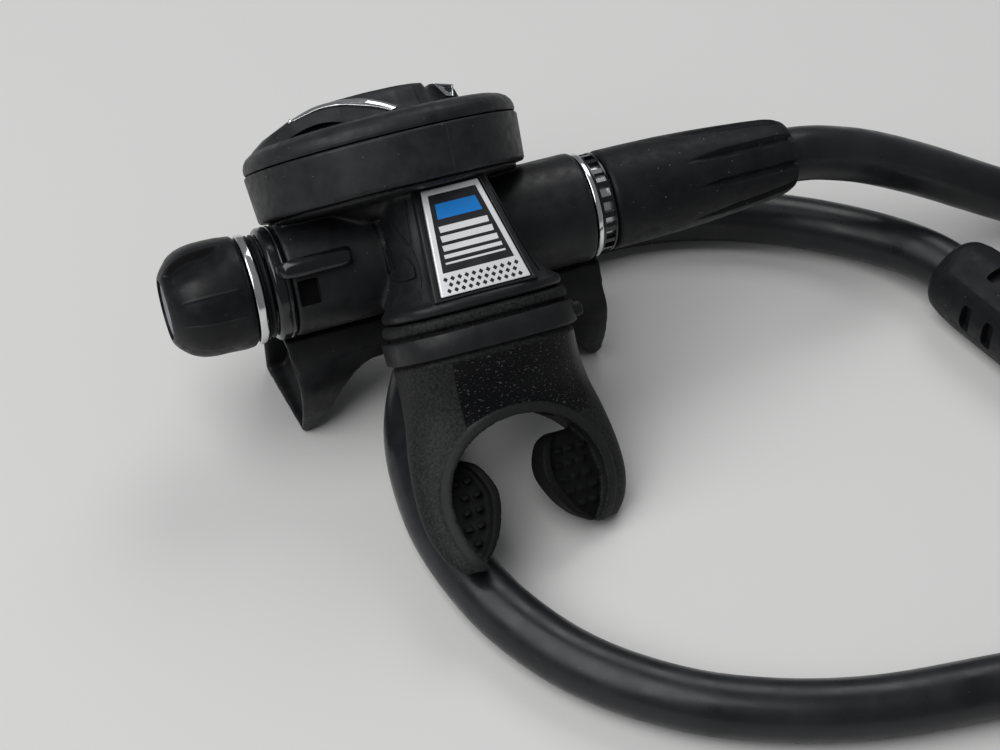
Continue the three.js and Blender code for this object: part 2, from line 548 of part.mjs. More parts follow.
function makeTee() {
  const hole = solid(turned(rod(10.15, 20, 30), "z", 24));
  return teeBody(0, 38.5).subtract(teeBody(TEE_WALL, 45)).subtract(hole);
}

// Hose and its far end.
function makeHose() {
  const stops = HOSE_ROUTE.map((q) => new THREE.Vector3(...q));
  const path = new THREE.CatmullRomCurve3(stops, false, "centripetal");
  const section = new THREE.Shape();
  for (let i = 0; i < HOSE_SIDES; i++) {
    const a = (2 * Math.PI * i) / HOSE_SIDES;
    const [x, y] = [HOSE_R * Math.cos(a), HOSE_R * Math.sin(a)];
    if (i) section.lineTo(x, y);
    else section.moveTo(x, y);
  }
  console.log(`hose centre line ${path.getLength().toFixed(1)} mm`);
  return solid(new THREE.ExtrudeGeometry(section, { steps: HOSE_STEPS, extrudePath: path }));
}

function makeFarProtector() {
  const sleeve = turnedX([[7.2, 0.6], [8.6, 0.6], [9.4, 2.2], [10.2, 9], [10.2, 40], [9.6, 42],
    [7.9, 42], [7.9, 24.4], [6.9, 24.4], [6.9, 10]], 22);
  const slots = [14, 21, 28].flatMap((x) => [0, 1, 2, 3].map((k) => {
    const cut = solid(new THREE.BoxGeometry(3.4, 5, 4).translate(x, 0, 10.4));
    return cut.rotate([90 * k, 0, 0]);
  }));
  return slots.reduce((body, cut) => body.subtract(cut), sleeve);
}

const makeFarFerrule = () => turnedX(washer(3.8, 7.5, 24.8, 40), 20);
function makeFirstStageFitting() {
  const shank = turnedX([[0, 24.9], [3.5, 24.9], [3.5, 41], [7.6, 41], [7.6, 43], [0, 43]], 18);
  const stud = turnedX([[0, 49], [7.4, 49], [7.4, 50.4], [3.7, 50.4], [3.7, 52.8], [4.75, 53.2],
    [4.75, 59.6], [4.2, 60.2], [0, 60.2]], 18);
  const bore = turnedX(rod(2, 20, 64), 12);
  return shank.add(hexRing(14.3, 42.5, 49.5)).add(stud).subtract(bore);
}
const makeFittingOring = () => turnedX([[4, 50.8], [5.3, 50.8], [5.7, 51.5], [5.3, 52.2],
  [4, 52.2]], 16);

// The object: the leaning stage, what stands upright under it, and the far end of the hose.
const regulator = new THREE.Group();
regulator.position.set(STAGE_X, STAGE_Y, 0);

const stage = new THREE.Group();
stage.position.z = AXIS_HEIGHT;
stage.rotation.x = -LEAN;
stage.add(
  piece("case", makeCase(), blackPlastic),
  piece("cover_ring", makeCoverRing(), blackPlastic),
  piece("front_cover", makeFrontCover(), softRubber),
  piece("purge_button", makeButton(), softRubber),
  piece("purge_spring", coil(6.4, 0.45, 22.4, 29.2, 4, "z").translate([COVER_X, 0, 0]), greyMetal),
  piece("cover_trim", makeCoverTrim(), chrome),
  piece("button_trim", makeButtonTrim(), chrome),
  piece("diaphragm", makeDiaphragm(), paleSilicone),
  piece("diaphragm_disc", makeDiaphragmDisc(), greyMetal),
  piece("demand_lever", makeDemandLever(), greyMetal),
  piece("valve_barrel", makeValveBarrel(), brass),
  piece("orifice", makeOrifice(), brass),
  piece("orifice_oring", makeOrificeOring(), softRubber),
  piece("poppet", makePoppet(), greyMetal),
  piece("poppet_seat", makePoppetSeat(), paleSilicone),
  piece("poppet_spring", coil(3.7, 0.5, -6.6, 7.6, 6, "x"), greyMetal),
  piece("balance_chamber", makeBalanceChamber(), greyMetal),
  piece("adjuster_stem", makeAdjusterStem(), brass),
  piece("adjuster_oring", makeAdjusterOring(), softRubber),
  piece("packing_nut", makePackingNut(), blackPlastic),
  piece("adjustment_knob", makeKnob(), softRubber),
  piece("knob_end_cap", makeKnobCap(), greyMetal),
  piece("knob_ring", makeKnobRing(), chrome),
  piece("dive_lever", makeDiveLever(), glossPlastic),
  piece("venturi_vane", makeVane(), blackPlastic),
  piece("inlet_ring", makeInletRing(), chrome),
  piece("heat_ring", makeHeatRing(), glossPlastic),
  piece("swivel_nut", makeSwivelNut(), chrome),
  piece("swivel_oring", makeSwivelOring(), softRubber),
  piece("hose_stem", makeHoseStem(), brass),
  piece("near_ferrule", makeNearFerrule(), chrome),
  piece("hose_protector", makeHoseProtector(), softRubber),
  piece("label_plate", makeLabelPlate(), plateFinish),
  piece("mouthpiece", makeMouthpiece(), silicone),
  piece("mouthpiece_clamp", makeClamp(), blackPlastic),
);

const underneath = new THREE.Group();
underneath.position.set(MOUTH_X, TEE_Y, 0);
underneath.add(
  piece("exhaust_valve", makeExhaustValve(), paleSilicone),
  piece("exhaust_tee", makeTee(), softRubber),
);

const farEnd = new THREE.Group();
farEnd.position.set(FAR_X, FAR_Y, FAR_Z);
farEnd.rotation.z = THREE.MathUtils.degToRad(FAR_HEADING_DEG);
farEnd.add(
  piece("far_protector", makeFarProtector(), softRubber),
  piece("far_ferrule", makeFarFerrule(), chrome),
  piece("first_stage_fitting", makeFirstStageFitting(), chrome),
  piece("fitting_oring", makeFittingOring(), softRubber),
);

regulator.add(stage, underneath, farEnd, piece("lp_hose", makeHose(), softRubber));

export default regulator;
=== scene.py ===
import bpy
import bmesh
import json
from math import atan2, copysign, cos, degrees, exp, hypot, pi, radians, sin, sqrt
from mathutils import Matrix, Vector
from mathutils.bvhtree import BVHTree


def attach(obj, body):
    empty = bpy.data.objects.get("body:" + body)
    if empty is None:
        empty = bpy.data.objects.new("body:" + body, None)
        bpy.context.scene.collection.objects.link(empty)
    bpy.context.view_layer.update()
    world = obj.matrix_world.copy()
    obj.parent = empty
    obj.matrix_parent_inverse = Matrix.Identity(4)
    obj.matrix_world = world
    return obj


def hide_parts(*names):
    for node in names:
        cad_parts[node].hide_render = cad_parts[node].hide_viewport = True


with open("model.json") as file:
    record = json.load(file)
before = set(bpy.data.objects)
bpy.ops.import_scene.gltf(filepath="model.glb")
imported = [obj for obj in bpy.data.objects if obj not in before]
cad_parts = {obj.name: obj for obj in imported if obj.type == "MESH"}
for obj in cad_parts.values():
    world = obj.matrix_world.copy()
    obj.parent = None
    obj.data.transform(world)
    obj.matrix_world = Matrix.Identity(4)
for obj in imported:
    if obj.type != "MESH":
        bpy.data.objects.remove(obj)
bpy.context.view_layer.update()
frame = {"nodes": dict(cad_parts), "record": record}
print("frame loaded,", len(frame["nodes"]), "nodes")

# Shared sizes, in millimetres. Stage points are (x, u, w): x along the barrel, u to the top of the
# worn stage, w out through the front cover.
mm = 0.001
foot = (-15.3, 16.75)
axisHeight = 39.2
lean = radians(43.5)
coverX = -3.6
mouthX, mouthU = 3.5, 16.5
teeY = 1.5
farFoot = (124.8, -22.4, 10.4)
farHeading = radians(-75.5)
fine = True


def onStage(x, u, w):
    y = foot[1] - u * cos(lean) + w * sin(lean)
    return Vector((x + foot[0], y, axisHeight + u * sin(lean) + w * cos(lean)))


stageUp = (onStage(0, 1, 0) - onStage(0, 0, 0)).normalized()


def upright(x, y, z):
    return Vector((x + foot[0], y + foot[1], z))


def onFar(x, y, z):
    turnX = x * cos(farHeading) - y * sin(farHeading)
    turnY = x * sin(farHeading) + y * cos(farHeading)
    return upright(farFoot[0] + turnX, farFoot[1] + turnY, farFoot[2] + z)


# Ways round: each takes radius, station and angle.
def roundBarrel(r, s, a):
    return onStage(s, r * cos(a), r * sin(a))


def roundCover(r, s, a):
    return onStage(coverX + r * cos(a), r * sin(a), s)


def roundOutlet(r, s, a):
    return upright(mouthX + r * cos(a), teeY + r * sin(a), s)


def roundFar(r, s, a):
    return onFar(s, r * cos(a), r * sin(a))


def clamp(v, low, high):
    return max(low, min(high, v))


def mix(a, b, t):
    return a + (b - a) * t


def ease(edge0, edge1, v):
    t = clamp((v - edge0) / (edge1 - edge0), 0, 1)
    return t * t * (3 - 2 * t)


def along(pairs, x):
    rows = sorted(pairs)
    if x <= rows[0][0]:
        return rows[0][1]
    for (x0, v0), (x1, v1) in zip(rows, rows[1:]):
        if x <= x1:
            return mix(v0, v1, (x - x0) / (x1 - x0))
    return rows[-1][1]


def link(name, data):
    made = bpy.data.objects.new(name, data)
    bpy.context.scene.collection.objects.link(made)
    return made


# Points a camera or a lamp along a direction.
def aim(obj, place, look):
    obj.location = place
    obj.rotation_mode = "QUATERNION"
    obj.rotation_quaternion = look.to_track_quat("-Z", "Y")
    return obj


# Camera, at the photograph's viewing angle.
camera = {"place": (-0.1142, -0.29255, 0.3326), "turn": 20.745, "tilt": 45.86, "lens": 71.53}


def makeCamera():
    turn, tilt = radians(camera["turn"]), radians(camera["tilt"])
    look = Vector((sin(turn) * cos(tilt), cos(turn) * cos(tilt), -sin(tilt)))
    data = bpy.data.cameras.new("camera")
    data.lens = camera["lens"]
    data.sensor_width = 36
    data.clip_start, data.clip_end = 0.01, 20
    bpy.context.scene.camera = aim(link("camera", data), camera["place"], look)


makeCamera()


# Finishes: one node tree each, in object coordinates. A node's inputs are values or other nodes' outputs.
def addNode(made, kind, inputs, **settings):
    node = made.node_tree.nodes.new("ShaderNode" + kind)
    for key, value in settings.items():
        setattr(node, key, value)
    for key, value in inputs.items():
        if isinstance(value, bpy.types.NodeSocket):
            made.node_tree.links.new(value, node.inputs[key])
        else:
            node.inputs[key].default_value = value
    return node


def mapped(made, **mapping):
    place = addNode(made, "TexCoord", {})
    return addNode(made, "Mapping", {"Vector": place.outputs["Object"], **mapping}).outputs["Vector"]


def cloud(made, source, scale, detail):
    return addNode(made, "TexNoise", {"Scale": scale, "Detail": detail, "Vector": source}).outputs["Fac"]


def ramp(made, source, low, high, start=0, end=1):
    limits = {"From Min": low, "From Max": high, "To Min": start, "To Max": end}
    return addNode(made, "MapRange", {"Value": source, **limits}).outputs["Result"]


def times(made, a, b):
    return addNode(made, "Math", {0: a, 1: b}, operation="MULTIPLY").outputs[0]


def blendColour(made, factor, *pair):
    first, second = [(*v, 1) if isinstance(v, tuple) else v for v in pair]
    return addNode(made, "Mix", {"Factor": factor, 6: first, 7: second}, data_type="RGBA").outputs[2]


def makeFinish(name, colour, rough, metal=0.0, mottle=0.15, mottleSize=9.0, grain=0.2, grainSize=0.5,
        grainDepth=0.03, roughSpread=0.1, dust=0.0, dustColour=(0.3, 0.3, 0.29), dustSize=0.7,
        haze=0.0, coat=0.0, stretch=(1, 1, 1), level=0.3):
    made = bpy.data.materials.new(name)
    made.use_nodes = True
    links = made.node_tree.links
    shader = made.node_tree.nodes["Principled BSDF"]
    fixed = {"Metallic": metal, "Coat Weight": coat, "Coat Roughness": 0.12, "Specular IOR Level": level}
    for key, value in fixed.items():
        shader.inputs[key].default_value = value
    place = mapped(made, Scale=stretch)
    dark = tuple(c * (1 - mottle) for c in colour)
    light = tuple(min(1, c * (1 + mottle) + haze) for c in colour)
    broad = cloud(made, place, 1 / (mottleSize * mm), 5)
    tone = blendColour(made, ramp(made, broad, 0.32, 0.68), dark, light)
    close = cloud(made, place, 1 / (mottleSize * 0.45 * mm), 6)
    links.new(ramp(made, close, 0.3, 0.7, rough - roughSpread, rough + roughSpread),
        shader.inputs["Roughness"])
    if dust:
        cells = addNode(made, "TexVoronoi", {"Scale": 1 / (dustSize * mm), "Vector": place})
        hue = addNode(made, "SeparateColor", {"Color": cells.outputs["Color"]})
        dots = ramp(made, cells.outputs["Distance"], 0.09, 0.2, 1, 0)
        chosen = ramp(made, hue.outputs["Red"], 1 - dust, 1 - dust + 0.05)
        tone = blendColour(made, times(made, dots, chosen), tone, dustColour)
    links.new(tone, shader.inputs["Base Color"])
    if grain:
        height = cloud(made, place, 1 / (grainSize * mm), 3)
        bump = addNode(made, "Bump", {"Strength": grain, "Distance": grainDepth * mm, "Height": height})
        links.new(bump.outputs["Normal"], shader.inputs["Normal"])
    return made


# Painted zones: a mesh's own colour attribute, and a blend over one of the shader's linked inputs.
def zones(made):
    zone = addNode(made, "Attribute", {}, attribute_name="zone")
    return list(addNode(made, "SeparateColor", {"Color": zone.outputs["Color"]}).outputs)


def overlay(made, key, factor, value):
    socket = made.node_tree.nodes["Principled BSDF"].inputs[key]
    under = socket.links[0].from_socket
    if isinstance(value, tuple):
        out = blendColour(made, factor, under, value)
    else:
        out = addNode(made, "Mix", {"Factor": factor, 2: under, 3: value}).outputs[0]
    made.node_tree.links.new(out, socket)


# Writes each vertex's zone, as paint gives it for the point and its normal.
def paintZones(mesh, paint):
    zone = mesh.color_attributes.new("zone", "FLOAT_COLOR", "POINT")
    normals = [Vector(n.vector) for n in mesh.vertex_normals]
    for v, normal in zip(mesh.vertices, normals):
        zone.data[v.index].color = (*paint(v, normal), 1)


finishes = {
    "shell": makeFinish("shellPlastic", (0.0095, 0.01, 0.0115), 0.42, mottle=0.22, mottleSize=5, grain=0.5,
        grainSize=0.35, grainDepth=0.02, dust=0.03, haze=0.002),
    "cover": makeFinish("coverRubber", (0.0118, 0.0125, 0.0142), 0.48, mottle=0.25, mottleSize=4, grain=0.7,
        grainSize=0.3, grainDepth=0.03, dust=0.04, haze=0.004),
    "gloss": makeFinish("glossBlack", (0.003, 0.0036, 0.0052), 0.2, grain=0.15, grainSize=1.2,
        grainDepth=0.01, dust=0.03, coat=0.3, level=0.45),
    "sleeve": makeFinish("sleeveRubber", (0.0052, 0.0057, 0.007), 0.52, mottle=0.25, mottleSize=5,
        grain=0.7, grainSize=0.3, grainDepth=0.03, dust=0.05, haze=0.002, level=0.22),
    "hose": makeFinish("hoseRubber", (0.0095, 0.0102, 0.0125), 0.34, mottle=0.28, mottleSize=14, grain=0.45,
        grainSize=0.5, grainDepth=0.02, dust=0.018, haze=0.004, level=0.38),
    "tee": makeFinish("teeRubber", (0.0092, 0.0095, 0.0108), 0.46, mottle=0.22, mottleSize=5, grain=0.5,
        grainSize=0.4, grainDepth=0.02, dust=0.03, haze=0.002),
    # Near-black, for the painted shadow sheet in the lever recess.
    "deep": makeFinish("deepBlack", (0.0012, 0.0012, 0.0014), 0.6, grain=0, level=0.08),
    "seal": makeFinish("sealRubber", (0.011, 0.011, 0.0112), 0.4, grain=0.2),
    "pale": makeFinish("paleSilicone", (0.6, 0.64, 0.66), 0.35, mottle=0.06, grain=0.2, dust=0.01),
    "chrome": makeFinish("brightChrome", (0.78, 0.785, 0.79), 0.12, metal=1, mottle=0.05, grain=0.12,
        grainSize=0.9, grainDepth=0.006, roughSpread=0.04),
    "steel": makeFinish("springSteel", (0.58, 0.59, 0.6), 0.28, metal=1, mottle=0.08, grain=0.2,
        grainSize=0.3, grainDepth=0.01, stretch=(0.2, 1, 1)),
    "grey": makeFinish("greyMetal", (0.3, 0.31, 0.33), 0.42, metal=0.7, mottle=0.2, mottleSize=4, grain=0.4,
        grainSize=0.4, grainDepth=0.03, dust=0.06, dustColour=(0.6, 0.6, 0.6)),
    "brass": makeFinish("valveBrass", (0.7, 0.57, 0.32), 0.27, metal=1, mottle=0.1, grain=0.2,
        grainSize=0.3, grainDepth=0.01, stretch=(0.2, 1, 1)),
    "plate": makeFinish("plateSilver", (0.82, 0.83, 0.85), 0.28, metal=0.2, mottle=0.04, grain=0.1,
        grainSize=0.4, grainDepth=0.008, coat=0.5, roughSpread=0.04, level=0.5),
    "plateDark": makeFinish("plateDark", (0.016, 0.017, 0.02), 0.3, mottle=0.15, grain=0, coat=0.4),
    "plateBlue": makeFinish("plateBlue", (0.008, 0.2, 0.62), 0.3, mottle=0.08, grain=0, coat=0.4),
}
slotFinish = {
    "shell_plastic": "shell", "gloss_black": "gloss", "cover_rubber": "cover", "knob_rubber": "sleeve",
    "hose_rubber": "tee", "mouth_rubber": "sleeve", "seal_rubber": "seal", "pale_silicone": "pale",
    "bright_chrome": "chrome", "spring_steel": "steel", "grey_metal": "grey", "valve_brass": "brass",
    "plate_grey": "plate",
}
print("finishes made")


# Mesh helpers.
def shade(obj, angle=32):
    mesh = obj.data
    mesh.polygons.foreach_set("use_smooth", [True] * len(mesh.polygons))
    mesh.set_sharp_from_angle(angle=radians(angle))
    return obj


def addMesh(name, points, faces, angle=32):
    mesh = bpy.data.meshes.new(name)
    mesh.from_pydata([p * mm for p in points], [], faces)
    work = bmesh.new()
    work.from_mesh(mesh)
    bmesh.ops.remove_doubles(work, verts=work.verts, dist=1e-7)
    bmesh.ops.recalc_face_normals(work, faces=work.faces)
    work.to_mesh(mesh)
    work.free()
    return shade(link(name, mesh), angle)


def finishPiece(obj, finish, body, slotName, *nodes):
    obj.data.materials.clear()
    obj.data.materials.append(finishes[finish] if isinstance(finish, str) else finish)
    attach(obj, body)
    if nodes:
        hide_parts(*nodes)
    return obj


def rounded(profile, radius=0.3, steps=3):
    out = []
    for i, corner in enumerate(profile):
        here = Vector(corner)
        if here.x < 1e-6:
            out.append(corner)
            continue
        before, after = Vector(profile[i - 1]) - here, Vector(profile[(i + 1) % len(profile)]) - here
        reach = min(radius, 0.45 * before.length, 0.45 * after.length)
        start, end = here + before.normalized() * reach, here + after.normalized() * reach
        for k in range(steps + 1):
            t = k / steps
            q = start * (1 - t) ** 2 + here * 2 * t * (1 - t) + end * t * t
            out.append((q.x, q.y))
    return out


def split(profile, step):
    out = []
    for i, (r, s) in enumerate(profile):
        r1, s1 = profile[(i + 1) % len(profile)]
        parts = max(1, int(hypot(r1 - r, s1 - s) / step))
        out += [(mix(r, r1, k / parts), mix(s, s1, k / parts)) for k in range(parts)]
    return out


# A closed profile of (radius, station) turned by one of the ways round; shape may move each point.
def turned(name, profile, way, segments=96, shape=None, angle=32):
    count = len(profile)
    points, faces = [], []
    for k in range(segments):
        a = 2 * pi * k / segments
        for r, s in profile:
            if shape:
                r, s = shape(r, s, a)
            points.append(way(r, s, a))
    for k in range(segments):
        n = (k + 1) % segments
        for i in range(count):
            j = (i + 1) % count
            faces.append((k * count + i, n * count + i, n * count + j, k * count + j))
    return addMesh(name, points, faces, angle)


def rod(r, start, end):
    return [(0, start), (r, start), (r, end), (0, end)]


def washer(inner, outer, start, end):
    return [(inner, start), (outer, start), (outer, end), (inner, end)]


def loft(name, rings, angle=32):
    count = len(rings[0])
    points = [q for ring in rings for q in ring]
    faces = []
    for r in range(len(rings) - 1):
        for i in range(count):
            j = (i + 1) % count
            faces.append((r * count + i, r * count + j, (r + 1) * count + j, (r + 1) * count + i))
    faces.append(tuple(range(count)))
    faces.append(tuple(range((len(rings) - 1) * count, len(rings) * count)))
    return addMesh(name, points, faces, angle)


# Rows of numbers, filled in between with a smooth curve.
def spline(rows, parts):
    out = []
    last = len(rows) - 1
    for i in range(last):
        before, a, b, after = rows[max(0, i - 1)], rows[i], rows[i + 1], rows[min(last, i + 2)]
        for k in range(parts):
            t = k / parts
            out.append([0.5 * (2 * q1 + (q2 - q0) * t + (2 * q0 - 5 * q1 + 4 * q2 - q3) * t * t
                    + (3 * q1 - q0 - 3 * q2 + q3) * t ** 3) for q0, q1, q2, q3 in zip(before, a, b, after)])
    out.append(list(rows[last]))
    return out


def oval(x, u, w, halfX, halfU, power=2.6, count=72):
    ring = []
    for i in range(count):
        a = 2 * pi * i / count
        c, s = cos(a), sin(a)
        ring.append((x + halfX * copysign(abs(c) ** (2 / power), c),
                u + halfU * copysign(abs(s) ** (2 / power), s), w))
    return ring


def ovalRing(*args, **kwargs):
    return [onStage(*q) for q in oval(*args, **kwargs)]


def block(name, x0, x1, u0, u1, w0, w1, place=onStage):
    rings = [[place(x, u, w) for u, w in ((u0, w0), (u1, w0), (u1, w1), (u0, w1))] for x in (x0, x1)]
    return loft(name, rings)


# The mesh with its modifiers applied.
def bake(obj):
    graph = bpy.context.evaluated_depsgraph_get()
    mesh = bpy.data.meshes.new_from_object(obj.evaluated_get(graph))
    obj.modifiers.clear()
    obj.data = mesh
    return obj


def smooth(obj, rounds, group=""):
    relax = obj.modifiers.new("relax", "SMOOTH")
    relax.factor, relax.iterations, relax.vertex_group = 0.5, rounds, group
    return bake(obj)


def bevel(obj, width, segments):
    edge = obj.modifiers.new("edge", "BEVEL")
    edge.width, edge.segments, edge.limit_method = width * mm, segments, "ANGLE"
    return bake(obj)


def merge(obj, others):
    joined = bmesh.new()
    joined.from_mesh(obj.data)
    for other in others:
        joined.from_mesh(other.data)
        bpy.data.objects.remove(other)
    joined.to_mesh(obj.data)
    joined.free()
    return shade(obj)


# Shapes melted into one skin; soften gives from 0 to 1 how far a point takes part in the wide smoothing.
def fuse(name, shapes, voxel, rounds, soften=None, softRounds=0):
    made = merge(shapes[0], shapes[1:])
    made.name = name
    skin = made.modifiers.new("skin", "REMESH")
    skin.mode = "VOXEL"
    skin.voxel_size = (voxel if fine else max(voxel, 0.8)) * mm
    bake(made)
    if soften:
        group = made.vertex_groups.new(name="soft")
        bins = {}
        for v in made.data.vertices:
            bins.setdefault(round(soften(v.co / mm) * 8), []).append(v.index)
        for level, members in bins.items():
            group.add(members, level / 8, "REPLACE")
        smooth(made, softRounds, "soft")
    return shade(smooth(made, rounds), 50)


def carve(obj, cutters):
    for cutter in cutters:
        cut = obj.modifiers.new("cut", "BOOLEAN")
        cut.operation, cut.solver, cut.object = "DIFFERENCE", "MANIFOLD", cutter
        bake(obj)
        bpy.data.objects.remove(cutter)
    return obj


# Row point back to (x, u, w), for shapes that follow the leaning stage.
def toStage(p):
    y, z = p.y - foot[1], p.z - axisHeight
    return (p.x - foot[0], -y * cos(lean) + z * sin(lean), y * sin(lean) + z * cos(lean))


# The hose: one smooth line from the near ferrule to the far one, as the CAD solid lies.
hose = {
    "diameter": 12.7, "length": 0.673, "stepsBetween": 6,
    "route": [
        (69.5, 0, 39.2), (78, 0, 39.2), (86.5, 0, 39), (94.5, 0, 37.9), (102.5, 0, 35.4), (110.5, 0, 32.1),
        (120, -0.1, 27.2), (130, -0.6, 21.7), (138.5, -1.7, 17), (146.5, -3.6, 13.1), (154.5, -6.6, 10),
        (162.5, -11, 7.9), (170.5, -17, 6.7), (178, -25, 6.5), (185.5, -38, 6.4), (189, -53, 6.4),
        (187.9, -68.8, 6.4), (182, -84, 6.4), (172.5, -98.5, 6.4), (160, -111, 6.4), (144.5, -121, 6.4),
        (127, -127.5, 6.4), (108, -130.5, 6.4), (90, -130.5, 6.4), (71.8, -128.3, 6.4), (51, -124.9, 6.4),
        (32.1, -118.6, 6.4), (14.9, -109, 6.4), (-0.2, -94.4, 6.4), (-10, -76.5, 6.4), (-14.4, -58, 6.4),
        (-14.8, -42, 6.4), (-12, -25, 6.4), (-5.5, -9.5, 6.4), (4.5, 4.5, 6.4), (17.5, 15, 6.4),
        (33, 22.2, 6.4), (50, 25.2, 6.4), (66.5, 24.2, 6.4), (82, 19.8, 6.4), (96.5, 12.5, 6.5),
        (108, 3.8, 7), (116.4, -5.8, 8.3), (121.7, -14.9, 9.8), (124.8, -22.8, 10.4), (127.8, -34, 10.4),
        (130.9, -46, 10.4),
    ],
}


def makeHose():
    line = [upright(*q) * mm for q in spline(hose["route"], hose["stepsBetween"])]
    data = bpy.data.curves.new("lowPressureHose", "CURVE")
    data.dimensions = "3D"
    data.bevel_depth = hose["diameter"] / 2 * mm
    data.bevel_resolution = 10
    data.use_fill_caps = True
    path = data.splines.new("POLY")
    path.points.add(len(line) - 1)
    for point, q in zip(path.points, line):
        point.co = (*q, 1)
    path.use_smooth = True
    return finishPiece(link("lowPressureHose", data), "hose", "stage", "hose_rubber", "lp_hose")


hosePiece = makeHose()
print("hose made")


# Far end: sleeve with square windows over the ferrule, and the fitting.
farSleeve = {
    "profile": [(7.2, 0.6), (8.3, 0.6), (9.3, 2), (10, 4.6), (10.3, 9), (10.3, 40), (9.6, 42),
        (7.9, 42), (7.9, 24.4), (6.9, 24.4), (6.9, 10)],
    "windows": [14, 21, 28], "turns": 4, "halfAlong": 1.5, "halfAcross": 3.6, "crease": 0.65,
}


def makeFarSleeve():
    def flats(r, s, a):
        if r < 8.2:
            return r, s
        off = abs(degrees(a) % 90 - 45)
        return r - farSleeve["crease"] * min(1, off / 26) ** 0.8 * ease(2, 7, s), s
    sleeve = turned("farSleeve", split(rounded(farSleeve["profile"], 0.5), 0.8), roundFar, 128, flats)
    cutters = []
    for x in farSleeve["windows"]:
        for k in range(farSleeve["turns"]):
            a = radians(360 * k / farSleeve["turns"])
            side, out = (cos(a), sin(a)), (-sin(a), cos(a))

            def local(s, t, h, side=side, out=out):
                return onFar(s, side[0] * t + out[0] * h, side[1] * t + out[1] * h)
            long, wide = farSleeve["halfAlong"], farSleeve["halfAcross"]
            outline = oval(0, 0, 0, long, wide, 4.5, 40)
            cutters.append(loft("window", [[local(x + q[0], q[1], h) for q in outline]
                for h in (7.4, 12.4)]))
    shade(carve(sleeve, cutters))
    return finishPiece(sleeve, "sleeve", "stage", "hose_rubber", "far_protector")


def hexagon(name, across, start, end, way):
    corner = across / sqrt(3)
    half = radians(30)

    def sides(r, s, a):
        if r < corner - 1.2:
            return r, s
        flat = across / 2 / cos((a + half) % (2 * half) - half)
        return min(flat, r), s
    return turned(name, split(rounded([(2, start), (corner - 1.1, start), (corner, start + 0.8),
            (corner, end - 0.8), (corner - 1.1, end), (2, end)], 0.2), 1.5), way, 144, sides)


def makeFarFitting():
    shank = turned("firstStageFitting", rounded([(2, 24.9), (3.5, 24.9), (3.5, 41), (7.6, 41), (7.6, 43),
            (2, 43)], 0.3), roundFar)
    nut = hexagon("nut", 14.3, 43, 49.2, roundFar)
    thread = [(3.7, 52.8)]
    turns = 7
    for i in range(turns):
        s = 53.2 + i * 0.9
        thread += [(4.75, s + 0.25), (4.75, s + 0.4), (4.3, s + 0.75)]
    stud = turned("stud", rounded([(2, 49.2), (7.4, 49.2), (7.4, 50.4), (3.7, 50.4)] + thread
            + [(4.2, 60.2), (2, 60.2)], 0.12, 2), roundFar)
    made = merge(shank, [nut, stud])
    finishPiece(made, "chrome", "stage", "bright_chrome", "first_stage_fitting")
    ring = turned("fittingSeal", rounded([(4, 50.8), (5.6, 50.8), (5.7, 51.5), (5.6, 52.2), (4, 52.2)], 0.6,
            5), roundFar)
    return made, finishPiece(ring, "seal", "stage", "seal_rubber", "fitting_oring")


farPiece = makeFarSleeve()
fittingPieces = makeFarFitting()
tuple(upright(*hose["route"][0]) * mm)
print("far end made")


# Near sleeve with long pointed grooves and raised ribs between them.
nearSleeve = {
    "profile": [(9.6, 42.5), (10.8, 42.5), (11.3, 43.2), (11.25, 50), (11.1, 58), (10.7, 66), (10.2, 73),
        (9.6, 80), (9.1, 84.5), (8.6, 86.6), (7.8, 88.2), (7.3, 88.4), (6.9, 80), (6.9, 70),
        (7.8, 69.5), (7.8, 56.4), (9.6, 56.4)],
    "grooves": [72, 108, 150, 186, 228, 264, 306, 342, 384, 420], "from": 60,
    "depth": 1.2, "width": 1.15,
}


def makeNearSleeve():
    def grooved(r, s, a):
        if r < 8.3 or s < nearSleeve["from"]:
            return r, s
        t = ease(nearSleeve["from"], nearSleeve["from"] + 12, s)
        deep = 0
        for k, middle in enumerate(nearSleeve["grooves"]):
            bend = (1 if k % 2 else -1) * 5 * (1 - (s - nearSleeve["from"]) / 28)
            gap = (degrees(a) - middle - bend + 180) % 360 - 180
            across = abs(radians(gap)) * r
            deep = max(deep, t * max(0, 1 - across / (nearSleeve["width"] * (0.25 + 0.75 * t))))
        return r - nearSleeve["depth"] * deep ** 0.7, s
    sleeve = turned("nearSleeve", split(rounded(nearSleeve["profile"], 0.6), 0.7), roundBarrel, 360,
        grooved, 40)
    return finishPiece(sleeve, "sleeve", "stage", "hose_rubber", "hose_protector")


makeNearSleeve()
print("near sleeve made")


